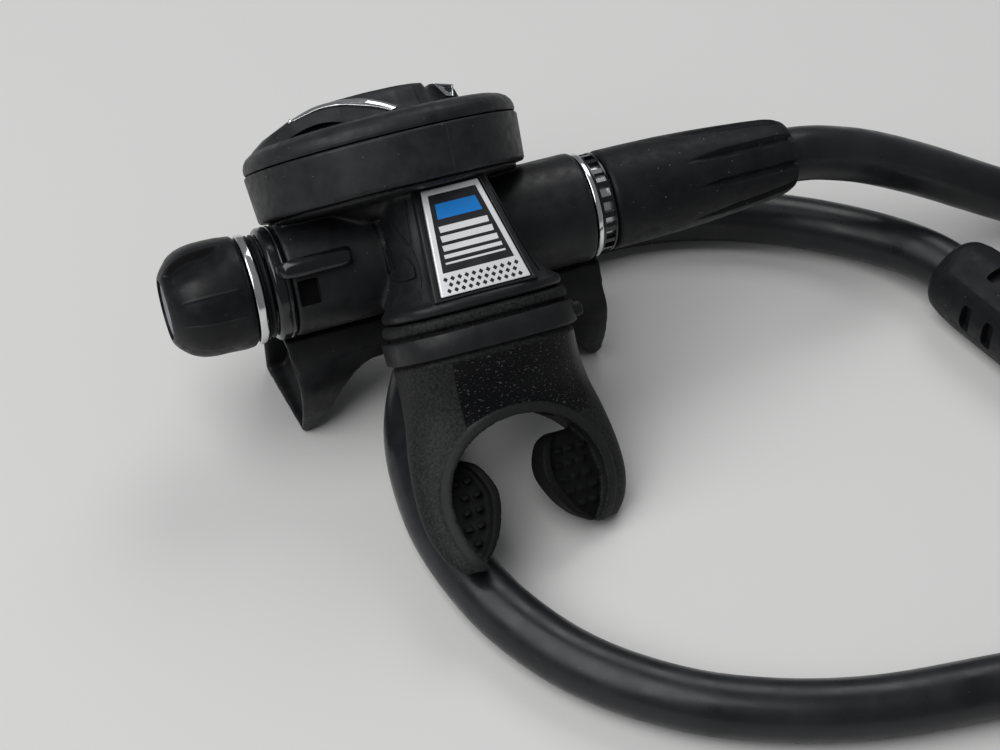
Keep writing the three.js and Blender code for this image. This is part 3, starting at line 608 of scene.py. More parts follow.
# Cover: the skirt ring, the domed front with its raised middle, vents, button and bright trims.
cover = {
    "skirt": [(27.9, 12.8), (29.5, 12.8), (29.9, 13.4), (30.6, 23), (30.3, 23.5), (25.4, 23.5),
        (25.4, 19.4), (27.9, 19.4)],
    "outside": [(25.1, 23.8), (30.2, 23.8), (30.4, 24.2), (30.35, 25.2), (30, 26.2), (29.3, 27.1),
        (28.2, 27.8), (26.6, 28.3), (24.6, 28.5), (22, 28.4), (19.5, 28.3), (17.2, 28.3), (15.4, 28.35),
        (13.4, 28.4), (10.9, 28.4)],
    "inside": [(10.9, 26.6), (14.6, 26.4), (23.2, 25.8), (23.2, 22), (4.6, 22), (4.6, 20.2), (25.1, 20.2)],
    "mouldLine": 75.0, "face": 28.4,
    # Raised middle: its height over the face along x, and how far it reaches either side.
    "top": [(-28, 0), (-26, 0.9), (-24, 2.05), (-20.3, 3.75), (-15.5, 5.05), (-10.9, 5.65), (-4, 5.8),
        (4, 5.75), (9.6, 5.5), (10.6, 4.3), (11.2, 4.25), (12.2, 5.05), (13.4, 5), (17.4, 4.1), (18.1, 3.2),
        (18.8, 1.2), (19.3, 0)],
    "reach": [(-28, 2.5), (-26, 6), (-24, 9.4), (-20, 13.6), (-15, 16.9), (-10, 18.8), (-4, 19.6),
        (2, 19.6), (7, 17.6), (10, 14), (12, 10.4), (14, 8.2), (17, 7), (18.5, 6), (19.3, 4)],
    "flank": 0.72,
    "vent": {"from": -22.6, "to": -8.8, "low": 28.0, "rise": 1.9, "deep": 5.0},
}


def raisedMiddle(x, u):
    reach = along(cover["reach"], x)
    return along(cover["top"], x) * (1 - ease(cover["flank"], 1, abs(u) / reach))


# How far up the flank a station of height w lies.
def flankU(x, w):
    reach = along(cover["reach"], x)
    low, high = cover["flank"] * reach, reach
    for _ in range(24):
        middle = (low + high) / 2
        if cover["face"] + raisedMiddle(x, middle) > w:
            low = middle
        else:
            high = middle
    return low


def makeSkirt():
    line = radians(cover["mouldLine"])

    def ridge(r, s, a):
        if r > 29 and 13.5 < s < 23.3:
            off = (a - line + pi) % (2 * pi) - pi
            return r + 0.12 * exp(-(off * 30 / 0.16) ** 2), s
        return r, s
    skirt = turned("coverSkirt", split(rounded(cover["skirt"], 0.45), 2), roundCover, 720, ridge)
    return finishPiece(skirt, "cover", "stage", "shell_plastic", "cover_ring")


def makeFrontCover():
    def swell(r, s, a):
        if s < 26 or r < 10.9 or r > 30:
            return r, s
        if s < 27.5 and r < 25:
            return r, s
        return r, s + raisedMiddle(r * cos(a), r * sin(a)) * ease(29.8, 27.5, r)
    profile = split(cover["outside"] + cover["inside"], 0.3)
    front = turned("frontCover", profile, roundCover, 288, swell, 40)
    cutters = []
    vent = cover["vent"]
    for side in (-1, 1):
        for end in (-1, 1):
            rings = []
            for i in range(25):
                t = 0.01 + 0.98 * i / 24
                x = mix(vent["from"], vent["to"], t)
                rise = vent["rise"] * sin(pi * t ** 1.15) ** 0.8
                high = vent["low"] + rise
                inner = flankU(x, high) - vent["deep"] * sin(pi * t)
                outer = along(cover["reach"], x) + 0.25
                rings.append([onStage(coverX - end * x, side * u, w) for u, w in
                        ((inner, 24), (outer, 24), (outer, high), (inner, high))])
            cutters.append(loft("vent", rings))
    for k in range(6):
        a = pi * (2 * k + 1) / 6

        def holeWay(r, s, b, a=a):
            return onStage(coverX + 15 * cos(a) + r * cos(b), 15 * sin(a) + r * sin(b), s)
        cutters.append(turned("hole", rod(2.8, 19, 23.5), holeWay, 40))
    shade(carve(front, cutters), 40)
    return finishPiece(front, "cover", "stage", "cover_rubber", "front_cover")


def makeButton():
    profile = [(0, 19), (3.2, 19), (3.2, 29.6), (8.4, 29.8), (10.4, 31), (10.5, 32.6), (10.3, 33.6),
        (9.6, 34.4), (8.2, 34.9), (6, 35.05), (3, 34.9), (0, 34.8)]
    profile = [(r, s - (0.35 if s > 30 else 0)) for r, s in profile]
    button = turned("purgeButton", split(rounded(profile, 0.4), 0.8), roundCover, 144)
    return finishPiece(button, "cover", "button", "cover_rubber", "purge_button")


# Bright sweep: stations along the raised middle's flank, each x, top edge, x, bottom edge.
sweep = {
    "top": [(-19.4, 32.3), (-17.5, 32.9), (-14.3, 33.55), (-10.3, 33.55), (-5.4, 32.9), (-1.5, 31.4),
        (1.6, 29.5)],
    "low": [(-19.5, 31.95), (-17, 32.5), (-13.5, 33.05), (-9.4, 32.65), (-5, 31.3), (-2.2, 30.2),
        (0.1, 29.0)],
    "proud": 0.45, "ball": (-19.8, 32.0, 0.62),
}
wedge = {"corners": [(13.0, 33.45), (18.0, 32.4), (17.0, 29.7), (15.2, 30.1)], "proud": 0.5, "dish": 0.4}


def makeTrims():
    rings = []
    rows = spline([[*a, *b] for a, b in zip(sweep["top"], sweep["low"])], 8)
    proud = sweep["proud"]
    for k, (x0, w0, x1, w1) in enumerate(rows):
        grow = proud * (0.45 + 0.55 * ease(0, 0.4, k / (len(rows) - 1)))
        u0, u1 = flankU(x0, w0), flankU(x1, w1)
        xm, wm, um = (x0 + x1) / 2, (w0 + w1) / 2, (u0 + u1) / 2
        rings.append([onStage(coverX + x, u, w) for x, u, w in (
                (x0, u0 - 0.7, w0 - 0.5), (x0, u0 - 0.1, w0 + grow * 0.6),
                (x0, u0 + grow * 0.5, w0 + grow * 0.3),
                (xm, um + grow * 1.2, wm), (x1, u1 + grow, w1 + grow * 0.1),
                (x1, u1 + grow * 0.8, w1 - grow * 0.3), (x1, u1 - 0.8, w1 - 0.3))])
    strip = bevel(loft("coverSweep", rings, 40), 0.1, 2)
    x, w, size = sweep["ball"]
    middle = onStage(coverX + x, flankU(x, w), w)
    ball = turned("ball", [(0, -size)] + [(size * cos(radians(a)), size * sin(radians(a)))
            for a in range(-75, 80, 15)] + [(0, size)],
        lambda r, s, a: middle + Vector((r * cos(a), r * sin(a), s)), 24)
    finishPiece(shade(merge(strip, [ball]), 40), "chrome", "stage", "bright_chrome", "cover_trim")
    corners = wedge["corners"]
    centre = [sum(c[i] for c in corners) / 4 for i in (0, 1)]

    def ring(scale, out):
        made = []
        for x, w in corners:
            x1, w1 = mix(centre[0], x, scale), mix(centre[1], w, scale)
            made.append(onStage(coverX + x1, flankU(x, w) + out, w1))
        return made
    face = wedge["proud"]
    plate = loft("buttonWedge", [ring(1, -0.9), ring(1, face), ring(0.86, face + 0.05),
            ring(0.62, face - wedge["dish"]), ring(0.2, face - wedge["dish"] * 1.1)])
    plate = shade(bevel(plate, 0.12, 3), 50)
    return finishPiece(plate, "chrome", "stage", "bright_chrome", "button_trim")


makeSkirt()
makeFrontCover()
makeButton()
makeTrims()
print("cover made")


# Case: barrel, cup and body fused with soft moulded joins, then hollowed.
case = {
    "voxel": 0.42, "joinRounds": 26, "barrel": 12.3, "left": -31.8, "right": 36.9,
    "leverRecess": {"x": (-31, -26.4), "w": (-6.4, -0.9), "floor": 10.0},
    # Crescent in relief on the shoulder: its two arcs, as stations of x and w.
    "crescentRight": [(-12, 8.4), (-10.6, 7.2), (-9.2, 5.2), (-8, 2.4), (-7.4, -0.8), (-7.4, -4.0),
        (-7.8, -6.8), (-8.6, -8.6)],
    "crescentLeft": [(-8.6, -8.6), (-9.9, -8.3), (-11.1, -6.4), (-11.5, -3.4), (-11.45, -0.2), (-11.5, 3.1),
        (-11.8, 6), (-12, 8.4)],
    "crescentDepth": 0.9,
    # Moulded lines beside the label, as stations of w and half width.
    "outline": [(10.4, 9.2), (-11.2, 13.0)], "lineHalf": 0.2, "lineDepth": 0.3,
}


def labelU(w):
    return 26.4 - 0.4264 * w


# A ring of the pad or the plate under the label: low and high are heights over labelU.
def padRing(half, w, low, high, narrow=0):
    corners = ((-half, low), (half, low), (half - narrow, high), (narrow - half, high))
    return [onStage(mouthX + x, labelU(w) + lift, w) for x, lift in corners]


def makeCase():
    barrel = turned("barrel", rounded([(0, case["left"]), (case["barrel"], case["left"]),
            (case["barrel"], case["right"]), (0, case["right"])], 0.6), roundBarrel, 128)
    cup = turned("cup", [(0, 8), (14, 8), (17, 11.3), (26.6, 11.5), (28.1, 12), (28.1, 12.4), (27.4, 12.4),
            (27.4, 17.2), (0, 17.2)], roundCover, 128)
    body = loft("body", [[onStage(*q) for q in oval(*row)] for row in spline(
            [(2.6, 6.2, 12.2, 11.5, 15, 3.4), (3, 6.9, 4, 13, 17.6, 3.4), (3.5, 10.2, -4, 14.2, 17.6, 3.2),
            (3.5, 13.6, -9, 16, 16.4, 3), (3.5, 16.5, -12.3, 17.9, 15.2, 3)], 5)])
    ridge = loft("ridge", [ovalRing(mouthX, mouthU, w, x, u, 3) for w, x, u in
            ((-12.2, 18.3, 15.6), (-12.8, 18.9, 16.2), (-14.1, 18.9, 16.2), (-14.7, 18.3, 15.6))])
    port = loft("port", [ovalRing(mouthX, mouthU, -10, 15.8, 12.4),
            ovalRing(mouthX, mouthU, -23.6, 15.8, 12.4)])
    pad = loft("pad", [padRing(half, w, -5, 0, 0.6) for w, half in ((11.2, 7.3), (-11.9, 11.6))])
    boss = turned("boss", rod(9.8, 22.9, 32), roundOutlet, 72)

    def joinArea(p):
        x, u, w = toStage(p)
        wide = ease(-30, -26, x) * (1 - ease(30, 34, x))
        return wide * (1 - ease(12.6, 13.4, w)) * ease(-13, -10.5, w)
    shell = fuse("case", [barrel, cup, body, ridge, port, pad, boss], case["voxel"], 3, joinArea,
        case["joinRounds"] if fine else 8)
    outlet = turned("outlet", rod(8.2, 22, 31), roundOutlet, 48)
    hub = turned("hub", washer(0.9, 2.2, 23, 24.4), roundOutlet, 24)
    carve(outlet, [hub])
    for k in range(3):
        a = radians(90 + 120 * k)

        def spoke(x, y, z, a=a):
            return upright(mouthX + x * cos(a) - y * sin(a), teeY + x * sin(a) + y * cos(a), z)
        carve(outlet, [block("spoke", 1.2, 10.6, -0.8, 0.8, 23, 24.4, spoke)])
    airway = loft("airway", [ovalRing(mouthX, u, w, x, h) for u, w, x, h in
            ((6, 2, 10.5, 8), (12, -5, 12.4, 9), (16.5, -13, 13.6, 10.2), (16.5, -24.5, 13.6, 10.2))])
    carve(shell, [turned("cupHollow", [(0, 12.8), (25.7, 12.8), (25.7, 18), (0, 18)], roundCover, 96),
            turned("pocket", rod(13, 8.8, 13), roundCover, 96),
            turned("middle", rod(10.7, -9.5, 16), roundBarrel, 96),
            turned("leftBore", rod(9.6, case["left"] - 1, -9), roundBarrel, 96),
            turned("rightBore", rod(8.6, 15, case["right"] + 1), roundBarrel, 96), airway, outlet])
    recess = case["leverRecess"]
    (x0, x1), (w0, w1) = recess["x"], recess["w"]
    pit = bevel(block("leverRecess", x0, x1, recess["floor"], 16, w0, w1), 0.35, 3)
    pockets = [makePocket(shell, case["crescentLeft"], case["crescentRight"], case["crescentDepth"])]
    for side in (-1, 1):
        arcs = [[(mouthX + side * half + shift, w) for w, half in case["outline"]]
            for shift in (-case["lineHalf"], case["lineHalf"])]
        pockets.append(makePocket(shell, *arcs, case["lineDepth"]))
    carve(shell, [pit, *pockets])
    # A thin near-black sheet on the lever recess floor: painted shadow in the recess.
    shadow = block("leverRecessFloor", x0 + 0.1, x1 - 0.1, recess["floor"] - 0.2, recess["floor"] + 0.12,
        w0 + 0.1, w1 - 0.1)
    finishPiece(shadow, "deep", "stage", "shell_plastic")
    return finishPiece(shade(shell, 40), "shell", "stage", "shell_plastic", "case")


# Cuts a shallow pocket in the case's skin between two arcs, each a list of stations of x and w.
def makePocket(shell, left, right, depth):
    skin = BVHTree.FromPolygons([v.co for v in shell.data.vertices],
        [p.vertices for p in shell.data.polygons])
    arcs = [[(w, x) for x, w in arc] for arc in (left, right)]
    heights = [w for w, _ in arcs[0]]
    rows, columns = 32, 6
    rings = []
    for i in range(rows + 1):
        w = mix(max(heights), min(heights), 0.01 + 0.98 * i / rows)
        x0, x1 = along(arcs[0], w), along(arcs[1], w)
        hits = [skin.ray_cast(onStage(mix(x0, x1, k / columns), 45, w) * mm, -stageUp)[0] / mm
            for k in range(columns + 1)]
        rings.append([q - stageUp * depth for q in hits] + [hits[-1] + stageUp * 2, hits[0] + stageUp * 2])
    return loft("pocket", rings)


# Frame round the label and the label itself: silver plate, dark panel, blue bar and rows of lozenges.
label = {
    "ends": ((10.9, 6.3), (-11.3, 9.8)), "thick": 0.9, "inset": 1.25, "zone": -6.6, "bar": (7.6, 4.4),
    "stripes": [(2.9, 1.3), (0.9, 1.3), (-1.1, 1.2), (-3.0, 0.8), (-4.6, 0.4)], "rows": (-7.9, -9.1, -10.3),
    "pitch": 1.55, "lozenge": 0.52,
}


def labelHalf(w):
    return along(label["ends"], w)


def onLabel(x, w, lift):
    return onStage(mouthX + x, labelU(w) + 0.3 + label["thick"] + lift, w)


def makeLabel():
    plate = loft("labelPlate", [padRing(half, w, 0.3, 0.3 + label["thick"]) for w, half in label["ends"]])
    plate = bevel(plate, 0.3, 4)
    finishPiece(shade(plate), "plate", "stage", "plate_grey", "label_plate")
    inset = label["inset"]

    def patch(name, outline, finish, lift):
        made = loft(name, [[onLabel(x, w, h) for x, w in outline] for h in (lift - 0.05, lift)])
        return finishPiece(made, finish, "stage", "plate_grey")

    def quad(top, bottom, side, taper=True):
        half0 = labelHalf(top) - side
        half1 = labelHalf(bottom) - side if taper else half0
        return [(-half0, top), (half0, top), (half1, bottom), (-half1, bottom)]

    patch("labelPanel", quad(label["ends"][0][0] - inset, label["zone"], inset), "plateDark", 0.03)
    patch("labelBar", quad(*label["bar"], 2.4), "plateBlue", 0.06)
    for k, (w, thick) in enumerate(label["stripes"]):
        patch(f"labelStripe{k}", quad(w, w - thick, 2.2, False), "plate", 0.06)
    lozenges = []
    size, pitch = label["lozenge"], label["pitch"]
    for row, w in enumerate(label["rows"]):
        count = int(labelHalf(w) / pitch)
        for k in range(-count, count + 1):
            x = (k + 0.5 * (row % 2)) * pitch
            if abs(x) > labelHalf(w) - 1.5:
                continue
            outline = [(x - size, w), (x, w + size), (x + size, w), (x, w - size)]
            lozenges.append(loft("lozenge", [[onLabel(*q, 0.0) for q in outline],
                    [onLabel(*q, 0.06) for q in outline]]))
    finishPiece(merge(lozenges[0], lozenges[1:]), "plateDark", "stage", "plate_grey")
    lozenges[0].name = "labelLozenges"
    rings = []
    for grow, lift in ((0.35, -0.6), (0.35, 0.75), (1.5, 0.75), (1.9, -0.6)):
        ring = []
        for (w, half), dw in zip(label["ends"], (grow, -grow)):
            ring.append((half + grow, w + dw * (0.4 if dw > 0 else 0.5)))
        (h0, w0), (h1, w1) = ring
        rings.append([onStage(mouthX - h0, labelU(w0) + lift, w0),
                onStage(mouthX + h0, labelU(w0) + lift, w0),
                onStage(mouthX + h1, labelU(w1) + lift, w1), onStage(mouthX - h1, labelU(w1) + lift, w1)])
    points = [q for ring in rings for q in ring]
    faces = [(r * 4 + i, r * 4 + (i + 1) % 4, ((r + 1) % 4) * 4 + (i + 1) % 4, ((r + 1) % 4) * 4 + i)
        for r in range(4) for i in range(4)]
    border = addMesh("labelBorder", points, faces)
    return finishPiece(shade(bevel(border, 0.25, 3), 40), "shell", "stage", "shell_plastic")


makeCase()
makeLabel()
print("case and label made")


# Knob side: fluted grip with its cap, bright ring, grooved nut and lever.
knob = {
    "scoops": 3, "scoopEdge": 60.0, "scoopWidth": 46.0, "scoopWall": 6.5, "depth": 1.75,
    "lines": (2.0, -25.0),
    "lineRise": 0.16,
    "profile": [(-40.5, 11.6), (-40.9, 12), (-41.6, 12.3), (-45, 12.55), (-49, 12.55), (-52, 12.1),
        (-54.3, 11.1), (-56, 9.7), (-57.1, 8.4), (-57.7, 7.4), (-57.8, 6.9)],
}


def makeKnob():
    rows = spline(knob["profile"], 8)
    count = 360 if fine else 180
    turn = 360 / knob["scoops"]
    rings = []
    for x, r in rows:
        ring = []
        for i in range(count):
            a = 2 * pi * i / count
            below = (knob["scoopEdge"] - degrees(a)) % turn
            t = ease(-42.8, -48, x) * (1 - ease(-55.4, -57.6, x))
            wall = ease(0, knob["scoopWall"] * (0.35 + 0.65 * t), below)
            scoop = knob["depth"] * t * wall * (1 - ease(0.15 * knob["scoopWidth"], knob["scoopWidth"],
                    below))
            rise = 0
            for line in knob["lines"]:
                off = (degrees(a) - line + turn / 2) % turn - turn / 2
                rise += knob["lineRise"] * max(0, 1 - abs(off) / 1.4) * ease(-41.8, -43.5,
                    x) * (1 - ease(-55, -56.2, x))
            here = r - scoop - 0.1 + rise
            ring.append(onStage(x, here * cos(a), here * sin(a)))
        rings.append(ring)
    grip = loft("adjustmentKnob", rings, 38)
    carve(grip, [turned("knobBore", rod(3.5, -54.6, -40), roundBarrel, 48),
            turned("knobRecess", rounded(rod(6.6, -58.5, -56), 0.3), roundBarrel, 96)])

    # Marks the upper wall of each scoop, which faces down away from the light, for painted shade.
    def paint(v, normal):
        x, u, w = toStage(v.co / mm)
        below = (knob["scoopEdge"] - degrees(atan2(w, u))) % turn
        t = ease(-42.8, -46, x) * (1 - ease(-55.4, -57, x))
        wide = knob["scoopWall"] * (0.3 + 0.7 * t)
        return t * ease(0, 0.8, below) * (1 - ease(0.9 * wide, 1.3 * wide, below)), 0, 0
    paintZones(grip.data, paint)
    finish = makeFinish("scoopedRubber", (0.0042, 0.0046, 0.0058), 0.42, mottle=0.25, mottleSize=4,
        grain=0.4, grainSize=0.4, grainDepth=0.02, dust=0.02, haze=0.0015, level=0.26)
    # The scoop wall's zone blends in a near-black colour as painted shade, with a rougher surface.
    scoopWall = zones(finish)[0]
    overlay(finish, "Base Color", scoopWall, (0.0008, 0.0008, 0.001))
    overlay(finish, "Roughness", scoopWall, 0.85)
    finishPiece(shade(grip, 38), finish, "knob", "knob_rubber", "adjustment_knob")
    cap = turned("knobCap", rounded([(0, -57), (4.9, -57), (5.3, -57.3), (6, -57.3), (6.3, -57.1),
            (6.3, -56.3), (0, -56.3)], 0.2), roundBarrel)
    finishPiece(cap, "grey", "knob", "grey_metal", "knob_end_cap")
    ring = turned("knobRing", rounded([(8.2, -40.2), (11.9, -40.2), (12.1, -39.95), (12.1, -38.6),
            (11.9, -38.3), (8.2, -38.3)], 0.15), roundBarrel, 144)
    finishPiece(ring, "chrome", "stage", "bright_chrome", "knob_ring")
    nut = turned("grooveNut", rounded([(3.5, -38), (11.2, -38), (11.5, -37.7), (10.8, -37.2), (11.4, -36.7),
            (11.2, -36.3), (6.1, -36.3), (6.1, -31.5), (3.5, -31.5)], 0.12), roundBarrel, 144)
    return finishPiece(nut, "sleeve", "stage", "shell_plastic", "packing_nut")


# Bar of the lever: stations of x, underside, top and half width.
lever = {
    "rows": [(-34.4, 11.2, 13.3, 1.2), (-33.5, 12.2, 14.3, 1.6), (-32.4, 12.6, 14.8, 1.9),
        (-29, 12.8, 15.1, 2.1), (-24, 12.85, 15.1, 2.1), (-19.6, 12.85, 15, 2.1),
        (-18.6, 12.9, 14.6, 1.8)], "middle": 1.9,
}


def makeLever():
    ring = turned("leverRing", rounded([(9.8, -35.9), (11.8, -35.9), (12.4, -35.2), (12.4, -33.4),
            (12.1, -33.2), (12.4, -33), (12.4, -32.5), (12.1, -32.1), (9.8, -32.1)], 0.2), roundBarrel, 144)
    rows = spline(lever["rows"], 6)
    rings = []
    for x, low, high, half in rows:
        shoulder, middle = mix(low, high, 0.2), lever["middle"]
        bar = []
        for k in range(9):
            a = pi * k / 8
            bar.append(onStage(x, shoulder + (high - shoulder) * sin(a) ** 0.45, middle + half * cos(a)))
        bar += [onStage(x, low, middle - half * 0.95), onStage(x, low, middle + half * 0.95)]
        rings.append(bar)
    arm = loft("leverArm", rings, 45)
    made = merge(ring, [arm, block("leverFoot", -34.5, -32.2, 11, 13.2, 0.6, 3.2)])
    return finishPiece(made, "gloss", "dive_control", "gloss_black", "dive_lever")


makeKnob()
makeLever()
print("knob side made")


# Hose side: bright ring and the finned ring with metal between its fins.
fins = {"count": 20, "outer": 11.2, "floor": 10.1, "from": 38.7, "to": 42.0, "land": 0.55}


def makeInlet():
    ring = turned("inletRing", rounded([(8.6, 37.2), (11.75, 37.2), (11.9, 37.4), (11.9, 38.2),
            (11.75, 38.4), (8.6, 38.4)], 0.12), roundBarrel, 144)
    finishPiece(ring, "chrome", "stage", "bright_chrome", "inlet_ring")
    sleeve = turned("finFloor", washer(8.6, fins["floor"], fins["from"] + 0.4, fins["to"] - 0.4),
        roundBarrel, 96)
    finishPiece(sleeve, "steel", "stage", "bright_chrome")
    parts = [turned("finRing", rounded(washer(8.6, fins["outer"], s, s + fins["land"]), 0.12), roundBarrel,
            144) for s in (fins["from"], fins["to"] - fins["land"])]
    for k in range(fins["count"]):
        a = 2 * pi * k / fins["count"]

        def finWay(x, t, h, a=a):
            return onStage(x, h * cos(a) - t * sin(a), h * sin(a) + t * cos(a))
        parts.append(block("fin", fins["from"] + 0.3, fins["to"] - 0.3, -0.62, 0.62, 9.4,
                fins["outer"] - 0.12, finWay))
    finned = merge(parts[0], parts[1:])
    finned.name = "finRing"
    finishPiece(finned, "gloss", "stage", "gloss_black", "heat_ring")
    nut = hexagon("swivelNut", 16, 43, 55, roundBarrel)
    carve(nut, [turned("nutBore", [(0, 42), (7.3, 42), (7.3, 51), (3.9, 51), (3.9, 56), (0, 56)],
            roundBarrel, 72)])
    return finishPiece(shade(nut), "chrome", "swivel", "bright_chrome", "swivel_nut")


makeInlet()
print("hose side made")


# Mouthpiece: one soft piece with two arms and bite tabs, and its band.
mouth = {
    "bendFrom": -28, "end": -66, "liftRight": -1.1, "liftLeft": 19.4, "archTop": -38.6, "archWide": -56,
    "archHalf": 18.6, "voxel": 0.4, "bandWidth": 2.2, "bandRise": 0.3,
}


def bent(x, u, w):
    reach = max(0, (mouth["bendFrom"] - w) / (mouth["bendFrom"] - mouth["end"]))
    side = clamp((mouthX + 21 - x) / 42, 0, 1)
    lift = mix(mouth["liftRight"], mouth["liftLeft"], side * side * (3 - 2 * side))
    return x, u + lift * reach ** 1.5, w


def bentRing(w, halfX, halfU, power=2.8, count=96):
    return [onStage(*bent(*q)) for q in oval(mouthX, mouthU, w, halfX, halfU, power, count)]


def archHalf(w):
    c = clamp((w - mouth["archWide"]) / (mouth["archTop"] - mouth["archWide"]), -1, 1)
    return mouth["archHalf"] * sqrt(max(0.02, 1 - c * c))


def makeArchCutter():
    count = 48
    right = []
    for i in range(count + 1):
        a = (-0.62 + 1.62 * i / count) * pi / 2
        right.append((mouth["archHalf"] * cos(a),
                mouth["archWide"] + (mouth["archTop"] - mouth["archWide"]) * sin(a)))
    right.insert(0, (right[0][0], -80))
    outline = right + [(-x, w) for x, w in reversed(right)][1:]
    return loft("arch", [[onStage(mouthX + x, u, w) for x, w in outline] for u in (-20, 70)])


# Bite tabs: stations of w, inner edge, half thickness and half height of the lip; then the nubs.
tab = {
    "rows": [(-45.6, 9.6, 1.1, 2), (-47.5, 7, 1.7, 4), (-53, 5.2, 1.8, 5.2), (-59, 7.2, 1.8, 5),
        (-63.5, 10.6, 1.6, 3.8), (-66, 14.2, 1.1, 1.8)], "shy": 3,
    "nubs": (-49.5, -52.5, -55.5, -58.5, -61.5), "nubStep": 2.9, "nubLong": 1.7, "nubHalf": 0.5,
    "nubRise": 3,
}


def makeTab(side):
    shy = tab["shy"] if side < 0 else 0
    rows = spline(tab["rows"], 5)

    def place(x, h, w):
        return onStage(*bent(mouthX + side * x, mouthU + h, w))

    def strip(name, inner, outer, half):
        return loft(name, [[place(x, h, row[0]) for x, h in
                ((inner(row), -half(row)), (outer(row), -half(row)), (outer(row), half(row)),
                (inner(row), half(row)))] for row in rows])
    shapes = [strip("slab", lambda q: q[1] + shy, lambda q: archHalf(q[0]) + 1.2, lambda q: q[2]),
        strip("lip", lambda q: q[1] + shy - 0.9, lambda q: q[1] + shy + 1.1, lambda q: q[3])]
    wide, rise = tab["nubHalf"], tab["nubRise"]
    for w in tab["nubs"]:
        for column in (0, 1, 2):
            near = along([row[:2] for row in tab["rows"][1:]], w) + shy + 2.4
            x0 = near + column * tab["nubStep"]
            if x0 + 1.8 > archHalf(w) - 0.6:
                continue
            for face in (-1, 1):
                corners = ((face * 1.2, -wide), (face * rise, -wide), (face * rise, wide),
                    (face * 1.2, wide))
                shapes.append(loft("nub", [[place(x, h, w + d) for h, d in corners]
                        for x in (x0, x0 + tab["nubLong"])]))
    return shapes


def makeMouthFinish():
    made = makeFinish("mouthRubber", (0.0088, 0.0092, 0.0096), 0.6, mottle=0.75, mottleSize=0.6, grain=1.0,
        grainSize=0.4, grainDepth=0.06, dust=0.35, dustSize=0.5, dustColour=(0.06, 0.06, 0.058),
        haze=0.005, level=0.22)
    panel, band, inside = zones(made)
    overlay(made, "Base Color", panel, (0.0022, 0.0024, 0.003))
    overlay(made, "Roughness", panel, 0.25)
    overlay(made, "Base Color", band, (0.016, 0.0165, 0.0165))
    # Inside the arch and on the bite tabs: a near-black painted shade, with a rougher surface.
    overlay(made, "Base Color", inside, (0.002, 0.0022, 0.0026))
    overlay(made, "Roughness", inside, 0.8)
    scuff = cloud(made, mapped(made, Rotation=(0.4, 0.5, 0.7), Scale=(0.5, 1, 1)), 2600, 2)
    spots = times(made, ramp(made, scuff, 0.62, 0.68), panel)
    overlay(made, "Base Color", spots, (0.055, 0.055, 0.058))
    return made


def makeMouthpiece():
    rows = [(-15, 19, 15.2, 2.8), (-15.6, 19.7, 15.9, 2.8), (-17.2, 19.7, 15.9, 2.8),
        (-17.9, 18.6, 14.8, 2.8), (-23.7, 18.6, 14.8, 2.8), (-24.3, 19.4, 15.2, 2.8)]
    flow = spline([(-24.3, 19.4, 15.2, 2.8), (-30, 19.7, 13.4, 2.5), (-36, 20.7, 11.2, 2.3),
            (-42, 22.4, 9.8, 2.2),
            (-50, 24, 9, 2.1), (-57, 24.4, 8.2, 2.1), (-62, 23.4, 7, 2.1), (-65, 21.8, 5.4, 2.1),
            (-66.6, 20.4, 3.4, 2.1)], 5)
    body = loft("mouthBody", [bentRing(*row) for row in rows + flow[1:]])
    carve(body, [makeArchCutter()])
    airway = loft("mouthAirway", [bentRing(w, x, u) for w, x, u in
            ((-23.7, 14.4, 11), (-30, 14, 9.4), (-36, 12.8, 7.4), (-42, 12.4, 6.4))])
    sleeve = loft("mouthSleeve", [bentRing(-14, 16.1, 12.7), bentRing(-23.9, 16.1, 12.7)])
    tabs = makeTab(-1) + makeTab(1)
    made = fuse("mouthpiece", [body, *tabs], mouth["voxel"], 2)
    carve(made, [sleeve, airway])
    smooth(made, 2)

    def paint(v, normal):
        x, u, w = toStage(v.co / mm)
        x -= mouthX
        upward = normal.dot(stageUp)
        panel = ease(-10.8, -10.4, x) * ease(21, 17, x) * ease(-24.6, -25.2, w) * ease(0.1, 0.35, upward)
        c = Vector((x / mouth["archHalf"],
                (w - mouth["archWide"]) / (mouth["archTop"] - mouth["archWide"])))
        ring = (c.length - 1) * mouth["archHalf"]
        width = mouth["bandWidth"]
        band = ease(-0.4, 0.2, ring) * (1 - ease(width - 0.35, width + 0.15, ring)) if w > -66.4 else 0
        # inside marks the arch's inner faces and the bite tabs for painted shade.
        inside = ease(-0.6, -1.4, ring) if w < mouth["archTop"] else 0
        v.co += normal * band * ease(0.1, 0.4, abs(upward)) * mouth["bandRise"] * mm
        return panel * (1 - band) if w > -42 else 0, band * 0.8, inside * 0.9
    paintZones(made.data, paint)
    shade(made, 55)
    finishPiece(made, makeMouthFinish(), "stage", "mouth_rubber", "mouthpiece")


def makeBand():
    def ring(w, x, u):
        return ovalRing(mouthX, mouthU, w, x, u, 2.8, count=128)
    band = loft("mouthBand", [ring(*row) for row in ((-18.3, 19.9, 16.1), (-18.5, 20.25, 16.45),
            (-18.8, 20.4, 16.6), (-22.8, 20.4, 16.6), (-23.1, 20.25, 16.45), (-23.3, 19.9, 16.1))], 40)
    tail = block("tail", mouthX + 17.8, mouthX + 21.5, mouthU + 4.4, mouthU + 8, -22.4, -19.2)
    bevel(tail, 1.0, 4)
    carve(band, [ovalCutter()])
    carve(tail, [ovalCutter()])
    band = merge(band, [tail])
    return finishPiece(band, "tee", "stage", "shell_plastic", "mouthpiece_clamp")


def ovalCutter():
    return loft("bandInside", [ovalRing(mouthX, mouthU, -17, 18.95, 15.15, 2.8, count=128),
            ovalRing(mouthX, mouthU, -25, 18.95, 15.15, 2.8, count=128)])


makeMouthpiece()
makeBand()
print("mouthpiece made")


